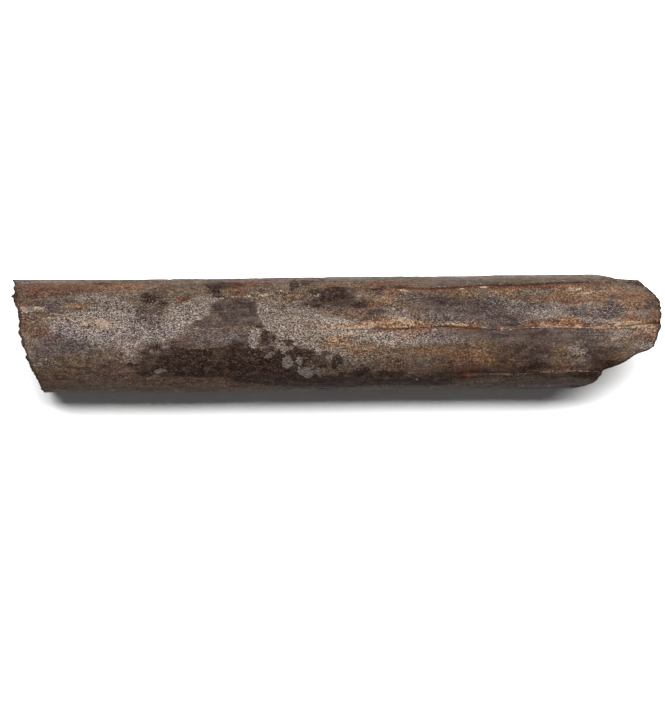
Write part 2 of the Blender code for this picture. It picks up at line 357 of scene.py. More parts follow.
# Each kind of marking is a set of soft-edged patches, grouped by what made it. A patch is
# (u, v, half-length, half-height, strength) in picture pixels, with how far it climbs for each
# pixel to the right as a sixth value where it leans. Noise then breaks up its outline.
MARKS = {
    # Worn, sandy bone: pale beige-grey, with light grains.
    "pale": (
        (92, 324, 34, 12, 0.9), (76, 330, 24, 8, 0.8), (96, 334, 26, 7, 0.8), (112, 287, 34, 3.4, 0.6), (76, 290, 16, 3, 0.4), (112, 312, 20, 11, 0.8), (100, 300, 20, 7, 0.5), (84, 295, 12, 4, 0.55),
        (126, 322, 18, 16, 0.85), (112, 339, 26, 8, 0.4), (134, 338, 20, 10, 0.5), (150, 331, 24, 8, 0.7), (172, 332, 12, 7, 0.75),
        (180, 322, 13, 10, 0.95), (188, 312, 14, 8, 0.9), (204, 306, 12, 8, 1.0), (207, 301, 10, 4, 0.8), (176, 306, 8, 5, 0.5),
        (210, 312, 5, 5, 0.7), (196, 318, 8, 4, 0.8, 0.4), (138, 346, 9, 4, 0.5), (131, 355, 7, 5, 0.75), (124, 349, 8, 4, 0.4),
        (285, 315, 26, 8, 0.8), (268, 306, 14, 8, 0.6), (272, 322, 12, 5, 0.8), (305, 322, 32, 9, 0.85), (322, 332, 28, 8, 0.95),
        (290, 332, 16, 5, 0.9), (284, 343, 6, 8, 0.5), (277, 345, 4, 9, 0.55), (304, 339, 14, 6, 0.85), (275, 354, 6, 2.6, 0.6),
        (284, 352, 4, 3.5, 0.75), (322, 350, 10, 4, 0.5), (345, 336, 22, 8, 0.95), (372, 338, 30, 7, 0.95), (400, 335, 32, 6, 0.95),
        (352, 348, 22, 7, 0.75), (378, 347, 24, 6, 0.7), (350, 359, 12, 6, 0.6), (370, 360, 16, 5, 0.35), (425, 336, 20, 5, 0.7),
        (332, 322, 16, 6, 0.95), (348, 323, 14, 4, 0.85), (350, 331, 50, 5, 0.9), (430, 333, 20, 4, 0.45), (392, 333, 40, 5, 0.8), (458, 339, 12, 6, 0.6), (438, 341, 12, 4, 0.4), (396, 314, 10, 4, 0.6),
        (405, 311, 6, 2.4, 0.6), (388, 318, 7, 2.5, 0.4), (318, 296, 5, 2.4, 0.7), (315, 299.5, 5, 1.6, 0.5), (348, 304, 5, 4, 0.7),
        (357, 296, 8, 4, 0.6), (352, 314, 6, 2, 0.4), (410, 294, 7, 2.4, 0.4), (442, 301, 6, 2, 0.4), (438, 308, 10, 2, 0.35),
        (487, 293, 10, 3.6, 0.6), (500, 300, 8, 3, 0.4), (519, 305, 10, 5, 0.6), (530, 312, 16, 6, 0.45), (548, 303, 12, 4, 0.7),
        (549, 293, 14, 3, 0.5), (545, 312, 16, 5, 0.4), (566, 308, 14, 4, 0.45), (590, 304, 10, 3, 0.5), (588, 314, 5, 8, 0.4),
        (606, 318, 22, 4, 0.4), (616, 335, 18, 6, 0.75), (604, 344, 8, 3, 0.75), (644, 346, 12, 4, 0.75), (626, 344, 14, 4, 0.5),
        (583, 355, 12, 7, 0.8), (572, 347, 8, 3, 0.4), (590, 360, 6, 4, 0.4), (655, 344, 4, 4, 0.5), (640, 312, 10, 4, 0.5),
        (254, 334, 5, 4, 0.8), (253, 344, 6, 5, 0.7), (282, 291, 4, 2, 0.5), (38, 282.3, 22, 1.6, 0.6), (296, 303, 12, 4, 0.5),
        (250, 293, 18, 3, 0.3), (45, 364, 8, 4, 0.4), (84, 355, 6, 4, 0.5), (24, 308, 4, 3, 0.5), (214, 338, 22, 5, 0.22),
        (110, 353, 8, 3, 0.3), (157, 316, 10, 2, 0.3), (28, 353, 4, 5, 0.35), (33, 366, 4, 4, 0.4), (150, 320, 12, 3, 0.4),
        (575, 294, 15, 7, 0.6), (592, 297, 12, 5, 0.55), (604, 290, 14, 4, 0.5), (628, 288, 16, 4, 0.5), (640, 296, 14, 5, 0.5), (620, 298, 12, 5, 0.4), (585, 284, 24, 3, 0.4), (632, 303, 12, 4, 0.4), (622, 322, 12, 4, 0.5), (642, 336, 10, 5, 0.5),
        (650, 329, 8, 4, 0.5), (574, 356, 12, 8, 0.5), (395, 343, 26, 5, 0.5), (400, 355, 20, 6, 0.35), (330, 350, 12, 4, 0.4), (412, 338, 18, 5, 0.5),
        (384, 335, 22, 5, 0.7), (408, 317, 8, 3, 0.5), (386, 300, 14, 5, 0.45), (378, 314, 8, 3, 0.3), (62, 318, 18, 4, 0.35), (40, 310, 14, 3, 0.4), (300, 322, 34, 8, 0.8), (275, 314, 18, 8, 0.7),
        (120, 286, 26, 3, 0.35), (240, 288, 10, 3, 0.3), (268, 297, 14, 4, 0.3), (62, 281.6, 30, 1.2, 0.5), (205, 338, 7, 5, 0.3), (150, 336, 16, 5, 0.2),
        (26, 336, 7, 8, 0.2), (612, 330, 20, 3, 0.35),
        (136, 287, 20, 3.6, 0.6), (92, 296, 22, 4, 0.6), (34, 309, 12, 4, 0.4), (270, 307, 16, 6, 0.45), (310, 310, 14, 4, 0.4),
        (500, 309, 16, 5, 0.45), (550, 310, 18, 5, 0.55), (594, 307, 18, 5, 0.55), (580, 317, 24, 4, 0.5), (88, 318, 18, 4, 0.6),
        (312, 326, 20, 5, 0.8), (340, 333, 30, 6, 0.85), (388, 334, 34, 5, 0.85), (130, 385, 60, 3, 0.35), (90, 380, 24, 4, 0.3),
        (645, 326, 10, 4, 0.5), (340, 342, 16, 5, 0.6), (84, 332, 26, 8, 0.6), (200, 386, 30, 3, 0.25),
        (130, 384, 70, 4, 0.55), (200, 386, 44, 3, 0.4), (70, 382, 30, 4, 0.4), (560, 318, 30, 4, 0.4), (520, 298, 30, 5, 0.35), (380, 296, 26, 4, 0.3),
        (630, 312, 16, 5, 0.5), (632, 290, 20, 4, 0.4), (640, 334, 16, 5, 0.4), (128, 324, 28, 6, 0.35), (78, 322, 28, 6, 0.7), (350, 340, 34, 5, 0.6),
        (400, 340, 26, 4, 0.5), (276, 316, 22, 7, 0.5), (170, 318, 14, 6, 0.4), (210, 294, 20, 4, 0.3), (28, 312, 10, 3, 0.4),
        (350, 336, 30, 7, 0.6), (366, 344, 24, 4, 0.4), (640, 298, 16, 4, 0.4), (612, 296, 16, 5, 0.35), (646, 320, 10, 4, 0.4), (190, 356, 6, 2, 0.2),
        (540, 288, 34, 3, 0.4), (226, 298, 16, 4, 0.3), (76, 297, 18, 4, 0.35), (180, 360, 16, 4, 0.2), (630, 298, 20, 6, 0.35), (370, 292, 20, 3, 0.3),
        (198, 308, 16, 7, 0.5), (206, 300, 10, 4, 0.4), (352, 344, 24, 5, 0.5), (344, 352, 20, 5, 0.4), (160, 352, 16, 3, 0.15), (520, 288, 40, 3, 0.3),
        (344, 346, 30, 8, 0.5), (396, 326, 22, 4, 0.5), (298, 334, 12, 5, 0.4), (612, 322, 24, 4, 0.3), (68, 330, 12, 6, 0.4), (572, 306, 14, 3, 0.3),
        (24, 350, 8, 14, 0.35), (574, 366, 14, 4, 0.35), (160, 357, 20, 6, 0.25),
        (340, 350, 30, 8, 0.4), (396, 326, 26, 4, 0.5), (45, 345, 20, 14, 0.3), (604, 322, 24, 4, 0.3),
        (367, 347, 26, 9, 0.5), (367, 356, 24, 6, 0.45), (412, 324, 20, 5, 0.45), (45, 358, 20, 7, 0.3), (184, 358, 20, 5, 0.3),
        (362, 341, 34, 5, 0.6), (312, 340, 14, 5, 0.5), (368, 350, 24, 6, 0.5), (412, 334, 26, 4, 0.4),
        (320, 341, 18, 5, 0.4), (322, 325, 20, 5, 0.4), (84, 338, 20, 6, 0.4), (84, 349, 18, 4, 0.3), (372, 349, 24, 7, 0.4), (182, 358, 18, 4, 0.3),
        (84, 333, 20, 4, 0.5), (84, 342, 18, 4, 0.4),
    ),
    # Warm brown bone.
    "brown": (
        (34, 290, 28, 7.6, 0.85), (68, 289, 26, 5, 0.5), (20, 300, 6, 8, 0.5), (26, 303, 8, 5, 0.4), (34, 327, 15, 10, 0.5),
        (43, 334, 9, 5, 0.5), (24, 322, 6, 9, 0.5), (92, 287, 30, 4, 0.3), (156, 287, 20, 3.6, 0.3), (60, 378, 26, 10, 0.6),
        (100, 380, 50, 9, 0.5), (92, 368, 22, 6, 0.4), (150, 386, 36, 6, 0.6), (206, 384, 44, 7, 0.95), (240, 385, 22, 5, 0.85),
        (262, 285, 26, 3.4, 0.5), (232, 291, 12, 4, 0.6), (165, 290, 20, 5, 0.35), (390, 292, 18, 5, 0.6), (372, 283, 14, 3, 0.5),
        (405, 362, 20, 7, 0.6), (430, 369, 30, 5, 0.5), (372, 353, 14, 4, 0.2), (388, 362, 14, 4, 0.6), (345, 350, 22, 5, 0.2),
        (488, 366, 40, 7, 0.85), (505, 356, 16, 7, 0.8), (520, 362, 12, 6, 0.7), (470, 356, 18, 6, 0.6), (455, 380, 14, 3, 0.5),
        (560, 362, 16, 5, 0.6), (545, 352, 12, 8, 0.5), (600, 358, 20, 8, 0.6), (618, 358, 16, 5, 0.7), (630, 294, 20, 5, 0.6),
        (610, 284, 12, 3, 0.7), (585, 299, 18, 3, 0.6), (556, 286, 20, 3, 0.6), (500, 289, 30, 4, 0.6), (462, 292, 12, 4, 0.7),
        (438, 292, 16, 3, 0.6), (366, 308, 14, 5, 0.5), (350, 312, 14, 5, 0.5), (358, 317, 10, 3, 0.5), (652, 300, 6, 5, 0.5),
        (636, 328, 14, 3, 0.5), (650, 336, 8, 4, 0.5), (476, 340, 16, 4, 0.3), (540, 344, 14, 5, 0.35), (452, 366, 14, 6, 0.4),
        (30, 374, 8, 10, 0.4), (118, 364, 20, 8, 0.45), (300, 386, 14, 3, 0.3),
        (476, 358, 22, 12, 0.85), (500, 362, 20, 9, 0.7), (456, 358, 10, 9, 0.4), (520, 356, 16, 9, 0.6), (60, 292, 20, 4, 0.25), (190, 380, 40, 5, 0.5),
        (250, 387, 26, 3, 0.7), (330, 293, 18, 5, 0.4), (360, 300, 12, 6, 0.4), (352, 308, 16, 6, 0.4), (420, 306, 14, 4, 0.3), (465, 298, 12, 5, 0.5),
        (540, 286, 30, 3, 0.5), (600, 352, 14, 10, 0.5), (400, 369, 26, 5, 0.5), (350, 377, 22, 4, 0.4), (70, 386, 34, 4, 0.4), (120, 372, 22, 6, 0.25),
        (22, 316, 5, 10, 0.3), (230, 386, 40, 4, 0.6), (262, 388, 20, 2, 0.7), (55, 282.6, 40, 1.6, 0.5), (26, 296, 12, 6, 0.35), (34, 330, 14, 7, 0.3), (476, 376, 34, 3, 0.5), (430, 378, 30, 3, 0.4), (232, 288, 14, 5, 0.4),
        (362, 310, 14, 4, 0.5), (505, 350, 18, 6, 0.6), (484, 368, 30, 5, 0.6), (536, 348, 14, 6, 0.5), (224, 287, 12, 4, 0.5),
        (222, 286, 16, 4, 0.5), (466, 366, 20, 5, 0.5), (300, 289, 10, 3, 0.3), (500, 362, 26, 6, 0.5),
        (508, 354, 24, 10, 0.5), (466, 350, 16, 6, 0.3), (520, 340, 20, 5, 0.3),
        (484, 352, 24, 10, 0.5), (508, 357, 20, 10, 0.4), (228, 287, 24, 5, 0.35), (456, 352, 22, 5, 0.3),
        (626, 340, 20, 8, 0.3), (505, 346, 26, 5, 0.4), (460, 350, 26, 5, 0.35), (275, 342, 24, 4, 0.3),
        (182, 358, 24, 5, 0.4), (550, 366, 22, 4, 0.5), (510, 364, 22, 6, 0.4), (88, 350, 20, 5, 0.2),
        (458, 360, 22, 7, 0.5), (505, 366, 22, 4, 0.5), (550, 367, 22, 3, 0.4), (630, 338, 20, 8, 0.4), (275, 364, 22, 6, 0.4), (412, 383, 24, 3, 0.3),
        (60, 289, 40, 7, 0.6), (340, 300, 22, 8, 0.4), (110, 284, 40, 4, 0.4), (636, 316, 16, 5, 0.35),
        (462, 364, 20, 6, 0.4), (508, 366, 20, 4, 0.4), (482, 358, 30, 8, 0.3),
    ),
    # Olive and yellow-brown.
    "olive": (
        (73, 364, 13, 6, 0.85), (66, 372, 8, 4, 0.7), (96, 364, 14, 5, 0.4), (172, 291, 22, 6, 0.7), (202, 289, 16, 6, 0.7),
        (188, 284, 26, 3, 0.5), (262, 292, 22, 6, 0.6), (290, 296, 18, 5, 0.7), (276, 286, 16, 3, 0.5), (306, 291, 10, 4, 0.6),
        (331, 283, 12, 3.4, 0.8), (352, 290, 8, 2, 0.5), (345, 281, 10, 3, 0.6), (352, 350, 20, 6, 0.3), (378, 353, 14, 6, 0.5),
        (396, 356, 14, 5, 0.6), (416, 350, 16, 5, 0.8), (428, 354, 14, 6, 0.8), (445, 354, 14, 5, 0.9), (484, 352, 10, 7, 0.9),
        (482, 342, 8, 5, 0.5), (470, 346, 12, 4, 0.5), (492, 363, 12, 6, 0.85), (520, 367, 8, 3, 0.5), (556, 352, 9, 8, 0.85),
        (572, 356, 14, 6, 0.7), (487, 293, 9, 3, 0.5), (452, 294, 10, 4, 0.6), (460, 300, 12, 3, 0.5), (400, 301, 12, 5, 0.5),
        (580, 293, 16, 4, 0.6), (632, 302, 13, 2.4, 0.9), (640, 307, 10, 2, 0.5), (630, 340, 18, 6, 0.5), (605, 340, 10, 4, 0.3),
        (622, 354, 8, 3, 0.7), (332, 371, 8, 3, 0.6), (345, 366, 10, 4, 0.4), (366, 364, 10, 3, 0.5), (30, 330, 8, 6, 0.3),
        (588, 289, 12, 2.5, 0.5), (637, 318, 6, 2, 0.4), (230, 328.5, 30, 1.2, 0.5), (104, 300, 18, 4, 0.4), (200, 326, 14, 4, 0.3),
        (55, 388, 14, 3, 0.3), (150, 380, 20, 3, 0.2),
        (226, 294, 16, 4, 0.5), (340, 346, 24, 6, 0.3), (372, 347, 22, 6, 0.2), (400, 348, 20, 5, 0.6), (362, 358, 20, 5, 0.55),
        (348, 340, 24, 5, 0.2), (600, 296, 14, 6, 0.5), (640, 308, 14, 6, 0.5), (556, 356, 14, 7, 0.6), (430, 346, 18, 5, 0.6), (408, 308, 9, 5, 0.4),
        (285, 312, 34, 8, 0.4), (310, 336, 24, 5, 0.35), (380, 352, 26, 6, 0.2), (262, 288, 16, 3, 0.4), (470, 296, 16, 4, 0.4), (624, 296, 12, 5, 0.35),
        (270, 304, 18, 6, 0.4), (300, 318, 30, 5, 0.3), (480, 348, 14, 8, 0.5),
        (344, 352, 26, 9, 0.2), (300, 338, 14, 8, 0.3),
    ),
    # Smooth blue-grey bone.
    "slate": (
        (52, 304, 15, 5, 0.8), (56, 310, 9, 2.4, 0.6), (58, 334, 9, 6, 0.5), (50, 343, 16, 6, 0.7), (66, 346, 18, 5, 0.55),
        (86, 346, 18, 3.4, 0.65), (44, 355, 14, 5, 0.5),  (106, 366, 10, 5, 0.5),
        (140, 320, 9, 8, 0.45), (152, 325, 14, 5, 0.4), (124, 296, 8, 3, 0.3), (68, 352, 20, 4, 0.4), (226, 314, 20, 5, 0.5),
        (216, 340, 24, 7, 0.5), (205, 334, 16, 5, 0.7), (228, 335, 18, 5, 0.75), (222, 341, 20, 4, 0.6), (352, 322, 10, 3, 0.3), (330, 301, 12, 2, 0.35), (300, 306, 8, 3, 0.3),
        (400, 297, 10, 3, 0.4), (430, 300, 20, 5, 0.8), (424, 309, 12, 5, 0.7), (442, 313, 16, 6, 0.85), (460, 314, 12, 6, 0.9),
        (448, 318, 14, 3, 0.6), (488, 309, 24, 6, 0.95), (458, 305, 22, 5, 0.7), (478, 317, 20, 4, 0.8), (504, 324, 22, 4, 0.7), (546, 333, 24, 4, 0.6), (508, 334, 22, 4, 0.7), (505, 316, 22, 5, 0.85), (500, 323, 16, 3, 0.7),
        (537, 306, 12, 4, 0.55), (518, 293, 8, 3, 0.6), (418, 333, 14, 3, 0.3), (436, 334, 14, 5, 0.7), (490, 333, 14, 4, 0.95),
        (470, 333, 14, 3, 0.5), (552, 331, 18, 3.4, 0.95), (578, 333, 26, 4, 0.95), (570, 338, 22, 3, 0.6), (598, 335, 14, 6, 0.7),
        (588, 344, 14, 4, 0.4), (545, 341, 14, 2, 0.5), (590, 312, 18, 6, 0.5), (612, 312, 14, 6, 0.6), (600, 319, 20, 3, 0.35),
        (612, 302, 5, 6, 0.7), (624, 309, 12, 3, 0.5), (648, 304, 9, 4.5, 0.75), (640, 350, 10, 3, 0.3), (268, 356, 6, 3, 0.5),
        (268, 343, 5, 4, 0.5), (415, 287, 14, 1, 0.2), (422, 364, 8, 4, 0.6), (446, 368, 14, 3, 0.4), (470, 380, 24, 3, 0.4),
        (576, 308, 8, 3, 0.4), (112, 372, 8, 4, 0.3), (534, 318, 12, 2, 0.3), (205, 346, 20, 3, 0.3),
        (70, 347, 34, 4, 0.4), (60, 352, 24, 4, 0.4), (530, 308, 30, 7, 0.45), (210, 336, 18, 6, 0.3),
        (232, 320, 24, 6, 0.35), (600, 311, 22, 6, 0.2), (570, 312, 14, 5, 0.3), (155, 322, 18, 7, 0.35), (112, 318, 14, 5, 0.2),  (468, 340, 16, 5, 0.4), (398, 306, 10, 4, 0.3),
        (455, 309, 18, 5, 0.6), (70, 336, 20, 6, 0.3), (92, 378, 18, 4, 0.35), (60, 368, 18, 4, 0.3), (420, 336, 26, 4, 0.4),
        (40, 350, 20, 12, 0.25), (70, 340, 16, 5, 0.3),
        (140, 322, 16, 3, 0.35), (84, 341, 22, 3, 0.1), (116, 331, 12, 2.4, 0.35), (64, 321, 10, 3, 0.35), (154, 312, 10, 5, 0.4), (100, 327, 8, 1.6, 0.3), (136, 300, 16, 3, 0.3), (296, 309, 14, 3, 0.3),
        (456, 306, 24, 5, 0.4), (600, 316, 22, 4, 0.35), (492, 304, 18, 7, 0.4), (478, 312, 18, 5, 0.35),
    ),
    # A faint lavender bloom on the sandy bone.
    "bloom": (
        (76, 330, 26, 6, 0.8), (150, 331, 30, 7, 0.8), (60, 309, 12, 3, 0.6), (428, 337, 36, 5, 0.9), (396, 333, 30, 3, 0.6), (490, 309, 30, 8, 0.7),
        (458, 312, 20, 6, 0.6), (598, 310, 26, 6, 0.8), (532, 308, 20, 6, 0.5), (226, 338, 26, 6, 0.7), (340, 318, 20, 4, 0.4), (500, 334, 40, 4, 0.3),
        (118, 318, 20, 6, 0.4), (100, 345, 34, 4, 0.5), (430, 302, 20, 5, 0.4),
        (76, 334, 24, 5, 0.6), (112, 340, 30, 4, 0.6), (150, 336, 24, 5, 0.6), (66, 326, 14, 5, 0.6), (100, 318, 14, 3, 0.4), (174, 326, 14, 4, 0.5), (90, 308, 18, 3, 0.4), (128, 312, 20, 3, 0.4),
        (270, 312, 18, 5, 0.4), (300, 318, 20, 4, 0.4),
        (90, 332, 24, 6, 0.4), (316, 324, 20, 4, 0.5), (100, 325, 20, 4, 0.3), (45, 345, 20, 10, 0.3),
        (90, 334, 22, 4, 0.5),
    ),
    # Smooth grey wall, where the bone turns away above the upper crack and below the lower one. Along the top and
    # bottom edges its grey is partly painted sheen: the reflection that the turned-away surface catches.
    "wall_and_sheen": (
        (150, 280.4, 60, 1.0, 0.4), (250, 278.8, 50, 1.2, 0.45), (345, 279, 22, 2.4, 0.8), (400, 279.5, 30, 2.6, 0.8),
        (440, 281, 26, 4, 0.9), (470, 278.5, 40, 3.2, 0.9), (510, 278, 50, 3.2, 1.0), (560, 277.5, 30, 3.0, 1.0), (596, 278, 18, 2.2, 1.0),
        (505, 381, 50, 3, 0.35), (560, 382, 34, 3, 0.4), (585, 382, 12, 3, 0.35), (535, 386.4, 44, 0.7, 0.8), (150, 389.6, 100, 1.4, 0.35), (70, 390, 30, 1.6, 0.35), (530, 386, 34, 0.8, 0.5),
        (110, 384, 60, 3, 0.45), (60, 384, 24, 3, 0.35), (190, 387, 40, 2, 0.4), (395, 388, 60, 1.6, 0.6),
        (540, 385.2, 44, 0.7, 0.8), (590, 382, 10, 1.0, 0.4),
    ),
    # Purple-grey staining with a clean edge.
    "stain": (
        (233, 306, 17, 7, 1.0), (226, 304, 9, 6, 1.0), (230, 316, 20, 8, 1.0), (246, 318, 11, 9, 1.0), (218, 322, 16, 5, 1.0), (205, 325.5, 12, 3.6, 1.0),
        (194, 328.6, 10, 2.2, 0.9), (251, 311, 5, 7, 0.9), (246, 304, 8, 4, 0.9), (256, 322, 6, 4, 0.95), (224, 311, 8, 6, 1.0), (260, 326.4, 4, 1.8, 0.8),
        (265, 340, 6, 8, 0.8), (272, 336, 4, 5, 0.6),
    ),
    # The same staining where it fades out.
    "umber": (
        (152, 312, 12, 6, 0.5), (158, 304, 10, 4, 0.45), (192, 337, 12, 5, 0.5), (180, 344, 12, 3, 0.6),
        (204, 346, 18, 3.4, 0.6), (226, 344, 14, 4, 0.6), (240, 340, 10, 8, 0.8),
        (164, 308, 6, 3, 0.4), (158, 344, 14, 3, 0.6), (380, 313, 12, 4, 0.6),
        (352, 314, 12, 4, 0.4), (346, 298, 8, 6, 0.7), (340, 312, 8, 4, 0.4), (524, 345, 18, 8, 0.65), (535, 352, 16, 10, 0.75),
        (530, 337, 12, 5, 0.6), (512, 332, 10, 3, 0.6), (604, 356, 12, 8, 0.8), (592, 352, 6, 9, 0.8), (614, 297, 6, 3, 0.7),
        (600, 289, 8, 3, 0.4), (632, 282.4, 14, 1.6, 0.6), (595, 368, 10, 4, 0.6), (425, 373, 16, 3, 0.5), (384, 282, 8, 2.4, 0.6),
        (650, 292, 6, 3, 0.6), (552, 376, 20, 3, 0.6), (648, 316, 8, 4, 0.3), (300, 348, 8, 3, 0.6), (306, 305, 5, 3, 0.6),
        (430, 303, 10, 3, 0.4), (475, 303, 8, 3, 0.3), (500, 378, 30, 2, 0.4), (150, 352, 14, 3, 0.5), (226, 330.5, 26, 1.4, 0.4),
        (432, 299, 24, 6, 0.5), (458, 301, 16, 6, 0.45), (482, 309, 18, 7, 0.60), (506, 316, 16, 5, 0.65), (470, 318, 16, 3, 0.45), (500, 337, 24, 5, 0.5), (506, 348, 20, 8, 0.3), (460, 364, 20, 6, 0.5), (488, 356, 12, 6, 0.15), (498, 326, 16, 3, 0.5),
        (556, 336, 26, 5, 0.5), (505, 381, 60, 6, 0.45), (562, 381, 36, 5, 0.45), (420, 372, 30, 3, 0.5), (166, 347, 20, 4, 0.6), (176, 342, 8, 2.6, 0.5),
        (150, 318, 12, 6, 0.3), (160, 326, 12, 4, 0.25), (480, 372, 30, 3, 0.5), (584, 380, 14, 6, 0.6), (350, 303, 14, 6, 0.5), (328, 306, 14, 4, 0.5),
        (370, 309, 12, 5, 0.5), (452, 372, 20, 3, 0.45), (540, 360, 16, 8, 0.6), (590, 362, 14, 7, 0.6),
        (500, 334, 60, 4, 0.55), (545, 341, 16, 5, 0.45), (500, 351, 18, 7, 0.2), (528, 364, 20, 6, 0.35), (475, 372, 24, 4, 0.6), (448, 306, 14, 5, 0.45),
        (222, 285, 14, 3, 0.5), (545, 333, 30, 4, 0.5), (500, 326, 30, 4, 0.3), (506, 360, 30, 6, 0.2), (450, 333, 16, 4, 0.35), (345, 296, 14, 6, 0.5), (312, 303, 14, 5, 0.4),
        (470, 364, 20, 5, 0.2), (535, 340, 20, 4, 0.4),
        (458, 307, 20, 6, 0.5), (536, 352, 16, 8, 0.4), (545, 330.5, 30, 1.6, 0.5),
        (470, 351, 30, 4, 0.2), (252, 364, 14, 6, 0.3), (224, 284, 26, 5, 0.5), (130, 350, 10, 4, 0.2),
        (456, 308, 26, 5, 0.3), (136, 308, 22, 5, 0.25), (136, 341, 20, 5, 0.25), (550, 335, 22, 7, 0.3), (596, 317, 22, 4, 0.3),
        (184, 287, 22, 4, 0.5), (228, 286, 20, 4, 0.3), (275, 285, 24, 3, 0.3),
        (252, 342, 20, 4, 0.3), (228, 326, 26, 6, 0.2), (505, 326, 22, 3, 0.3), (550, 341, 22, 6, 0.3), (595, 341, 16, 5, 0.3), (456, 334, 20, 5, 0.35), (500, 334, 26, 5, 0.35), (132, 338, 18, 4, 0.25),
        (44, 326, 20, 4, 0.4), (550, 334, 22, 5, 0.4), (596, 342, 20, 5, 0.4), (458, 309, 22, 5, 0.4), (136, 308, 20, 4, 0.3), (492, 318, 22, 4, 0.3),
        (505, 334, 24, 4, 0.35), (500, 320, 20, 3, 0.3), (550, 334, 22, 4, 0.35), (504, 344, 20, 4, 0.25),
    ),
    # Iron stain: red-brown.
    "rust": (
        (110, 284, 18, 1.3, 0.8), (100, 288.6, 16, 1.4, 0.7), (124, 287.5, 16, 2.6, 0.65), (138, 286, 12, 2.2, 0.5), (60, 286, 26, 1.4, 0.4),
        (34, 296, 16, 1.6, 0.35), (183, 298.6, 7, 1.4, 0.9), (180, 300.8, 5, 1.4, 0.7), (232, 284, 8, 4, 0.9), (224, 284, 8, 2, 0.5),
        (240, 292, 6, 3.4, 0.9), (257, 284, 9, 2, 0.7), (247, 283, 8, 1.6, 0.4), (234, 299, 9, 1.2, 0.9), (236, 296.4, 8, 1.0, 0.6),
        (285, 282, 9, 2.6, 0.35), (334, 288, 10, 3, 0.5), (342, 292, 6, 5, 0.4), (329, 310.5, 8, 2.2, 0.6), (374, 283.6, 5, 2, 0.7),
        (368, 288, 26, 1.0, 0.65), (398, 288.8, 22, 1.3, 0.75), (410, 283.6, 18, 2.0, 0.7), (424, 290, 18, 1.6, 0.7), (446, 289.4, 14, 1.3, 0.65),
        (452, 284.6, 12, 1.4, 0.4), (380, 291, 6, 3, 0.5), (373, 305, 7, 3, 0.75), (386, 303, 8, 3, 0.4), (364, 312, 6, 3, 0.4),
        (470, 287.6, 10, 1.4, 0.8), (485, 286.6, 12, 1.2, 0.4), (502, 287.6, 14, 2.6, 0.85), (526, 286.2, 14, 2.2, 0.95), (548, 285, 14, 2.4, 0.8),
        (536, 298, 14, 1.5, 0.85), (520, 298.4, 8, 1.2, 0.6), (562, 292, 5, 5, 0.6), (558, 298, 8, 2, 0.6), (574, 284.4, 14, 2.4, 1.0),
        (590, 286, 8, 2.6, 0.8), (579, 299, 14, 2.4, 0.95), (572, 302, 8, 1.8, 0.85), (386, 325, 13, 4, 1.0), (398, 325.6, 10, 3, 0.8),
        (382, 319, 7, 2.6, 0.6), (415, 327, 10, 3, 0.9), (427, 326.6, 6, 2.8, 1.0), (404, 330.6, 20, 1.2, 0.7), (378, 330, 8, 1.0, 0.6),
        (445, 327.4, 8, 1.2, 0.6), (466, 326, 10, 2.4, 0.85), (474, 328.4, 6, 2.6, 0.85), (464, 330, 10, 1.4, 0.7), (452, 322, 9, 2, 0.5),
        (499, 327.4, 5, 2.2, 0.6), (536, 323.2, 8, 3.2, 0.95), (531, 327, 8, 1.6, 0.5), (554, 320.6, 10, 3, 0.7), (566, 323, 10, 3.6, 0.9),
        (576, 322, 7, 3.4, 0.95), (562, 317.4, 10, 1.6, 0.5), (611, 324.6, 8, 2.2, 0.85), (604, 329, 8, 1.6, 0.5), (630, 320.4, 8, 1.8, 0.7),
        (644, 325.4, 8, 2.6, 1.0), (654, 322, 6, 1.6, 0.7), (636, 318, 8, 1.4, 0.6), (642, 335.4, 12, 1.8, 0.85), (650, 337.4, 5, 1.6, 0.6),
        (636, 296.6, 22, 1.5, 0.9), (650, 297.4, 8, 1.8, 0.85), (624, 292, 14, 1.4, 0.5), (618, 299, 8, 1.6, 0.5), (640, 302, 4, 1.6, 0.3),
        (463, 366, 12, 4, 0.35), (470, 354, 9, 3.6, 0.35), (456, 352.6, 8, 3, 0.35), (508, 364, 12, 4.6, 0.22), (504, 356, 8, 3, 0.25),
        (464, 375, 14, 2.4, 0.85), (448, 376, 9, 2.6, 0.8), (480, 371, 14, 1.6, 0.4), (556, 368, 13, 1.6, 0.9), (566, 369.4, 8, 1.2, 0.8),
        (556, 361, 9, 2.0, 0.15), (594, 374, 7, 4, 0.45), (604, 371, 5, 3, 0.4), (378, 354, 4, 3, 0.5), (394, 363, 12, 3.4, 0.45),
        (226, 372, 30, 2, 0.25), (212, 380, 24, 3, 0.3), (160, 358, 16, 4, 0.25), (200, 364, 30, 6, 0.25), (30, 288, 10, 3, 0.3),
        (318, 361, 10, 2.5, 0.4), (26, 324, 8, 5, 0.24), (245, 330.2, 12, 0.8, 0.3), (655, 312.6, 5, 0.9, 0.6),
        (380, 322, 18, 4.4, 0.42), (404, 327.6, 18, 2.2, 0.55), (436, 327.6, 12, 1.4, 0.6), (424, 324, 8, 2, 0.4), (480, 355, 20, 9, 0.14), (490, 369, 22, 2, 0.25),
        (462, 372, 20, 3, 0.5), (562, 368.4, 16, 1.8, 0.5), (572, 299, 14, 4, 0.55), (590, 300, 14, 2, 0.45), (640, 320, 14, 5, 0.5), (648, 325, 10, 5, 0.6),
        (632, 297, 24, 2.2, 0.85), (648, 298, 8, 2, 0.6), (534, 298, 22, 2.0, 0.6), (525, 285.2, 44, 1.3, 0.7), (478, 286.6, 30, 0.9, 0.6), (575, 300, 18, 3, 0.45), (655, 314, 5, 6, 0.6), (650, 324, 10, 2.4, 0.85), (626, 319, 10, 2, 0.5), (598, 284, 10, 2, 0.5), (390, 284, 20, 2, 0.42), (240, 286, 14, 4, 0.42),
        (30, 292, 14, 6, 0.36), (120, 285.6, 26, 2.6, 0.40), (182, 299, 10, 3, 0.42), (60, 289, 24, 3, 0.36), (370, 296, 14, 5, 0.36), (330, 287, 12, 3, 0.4),
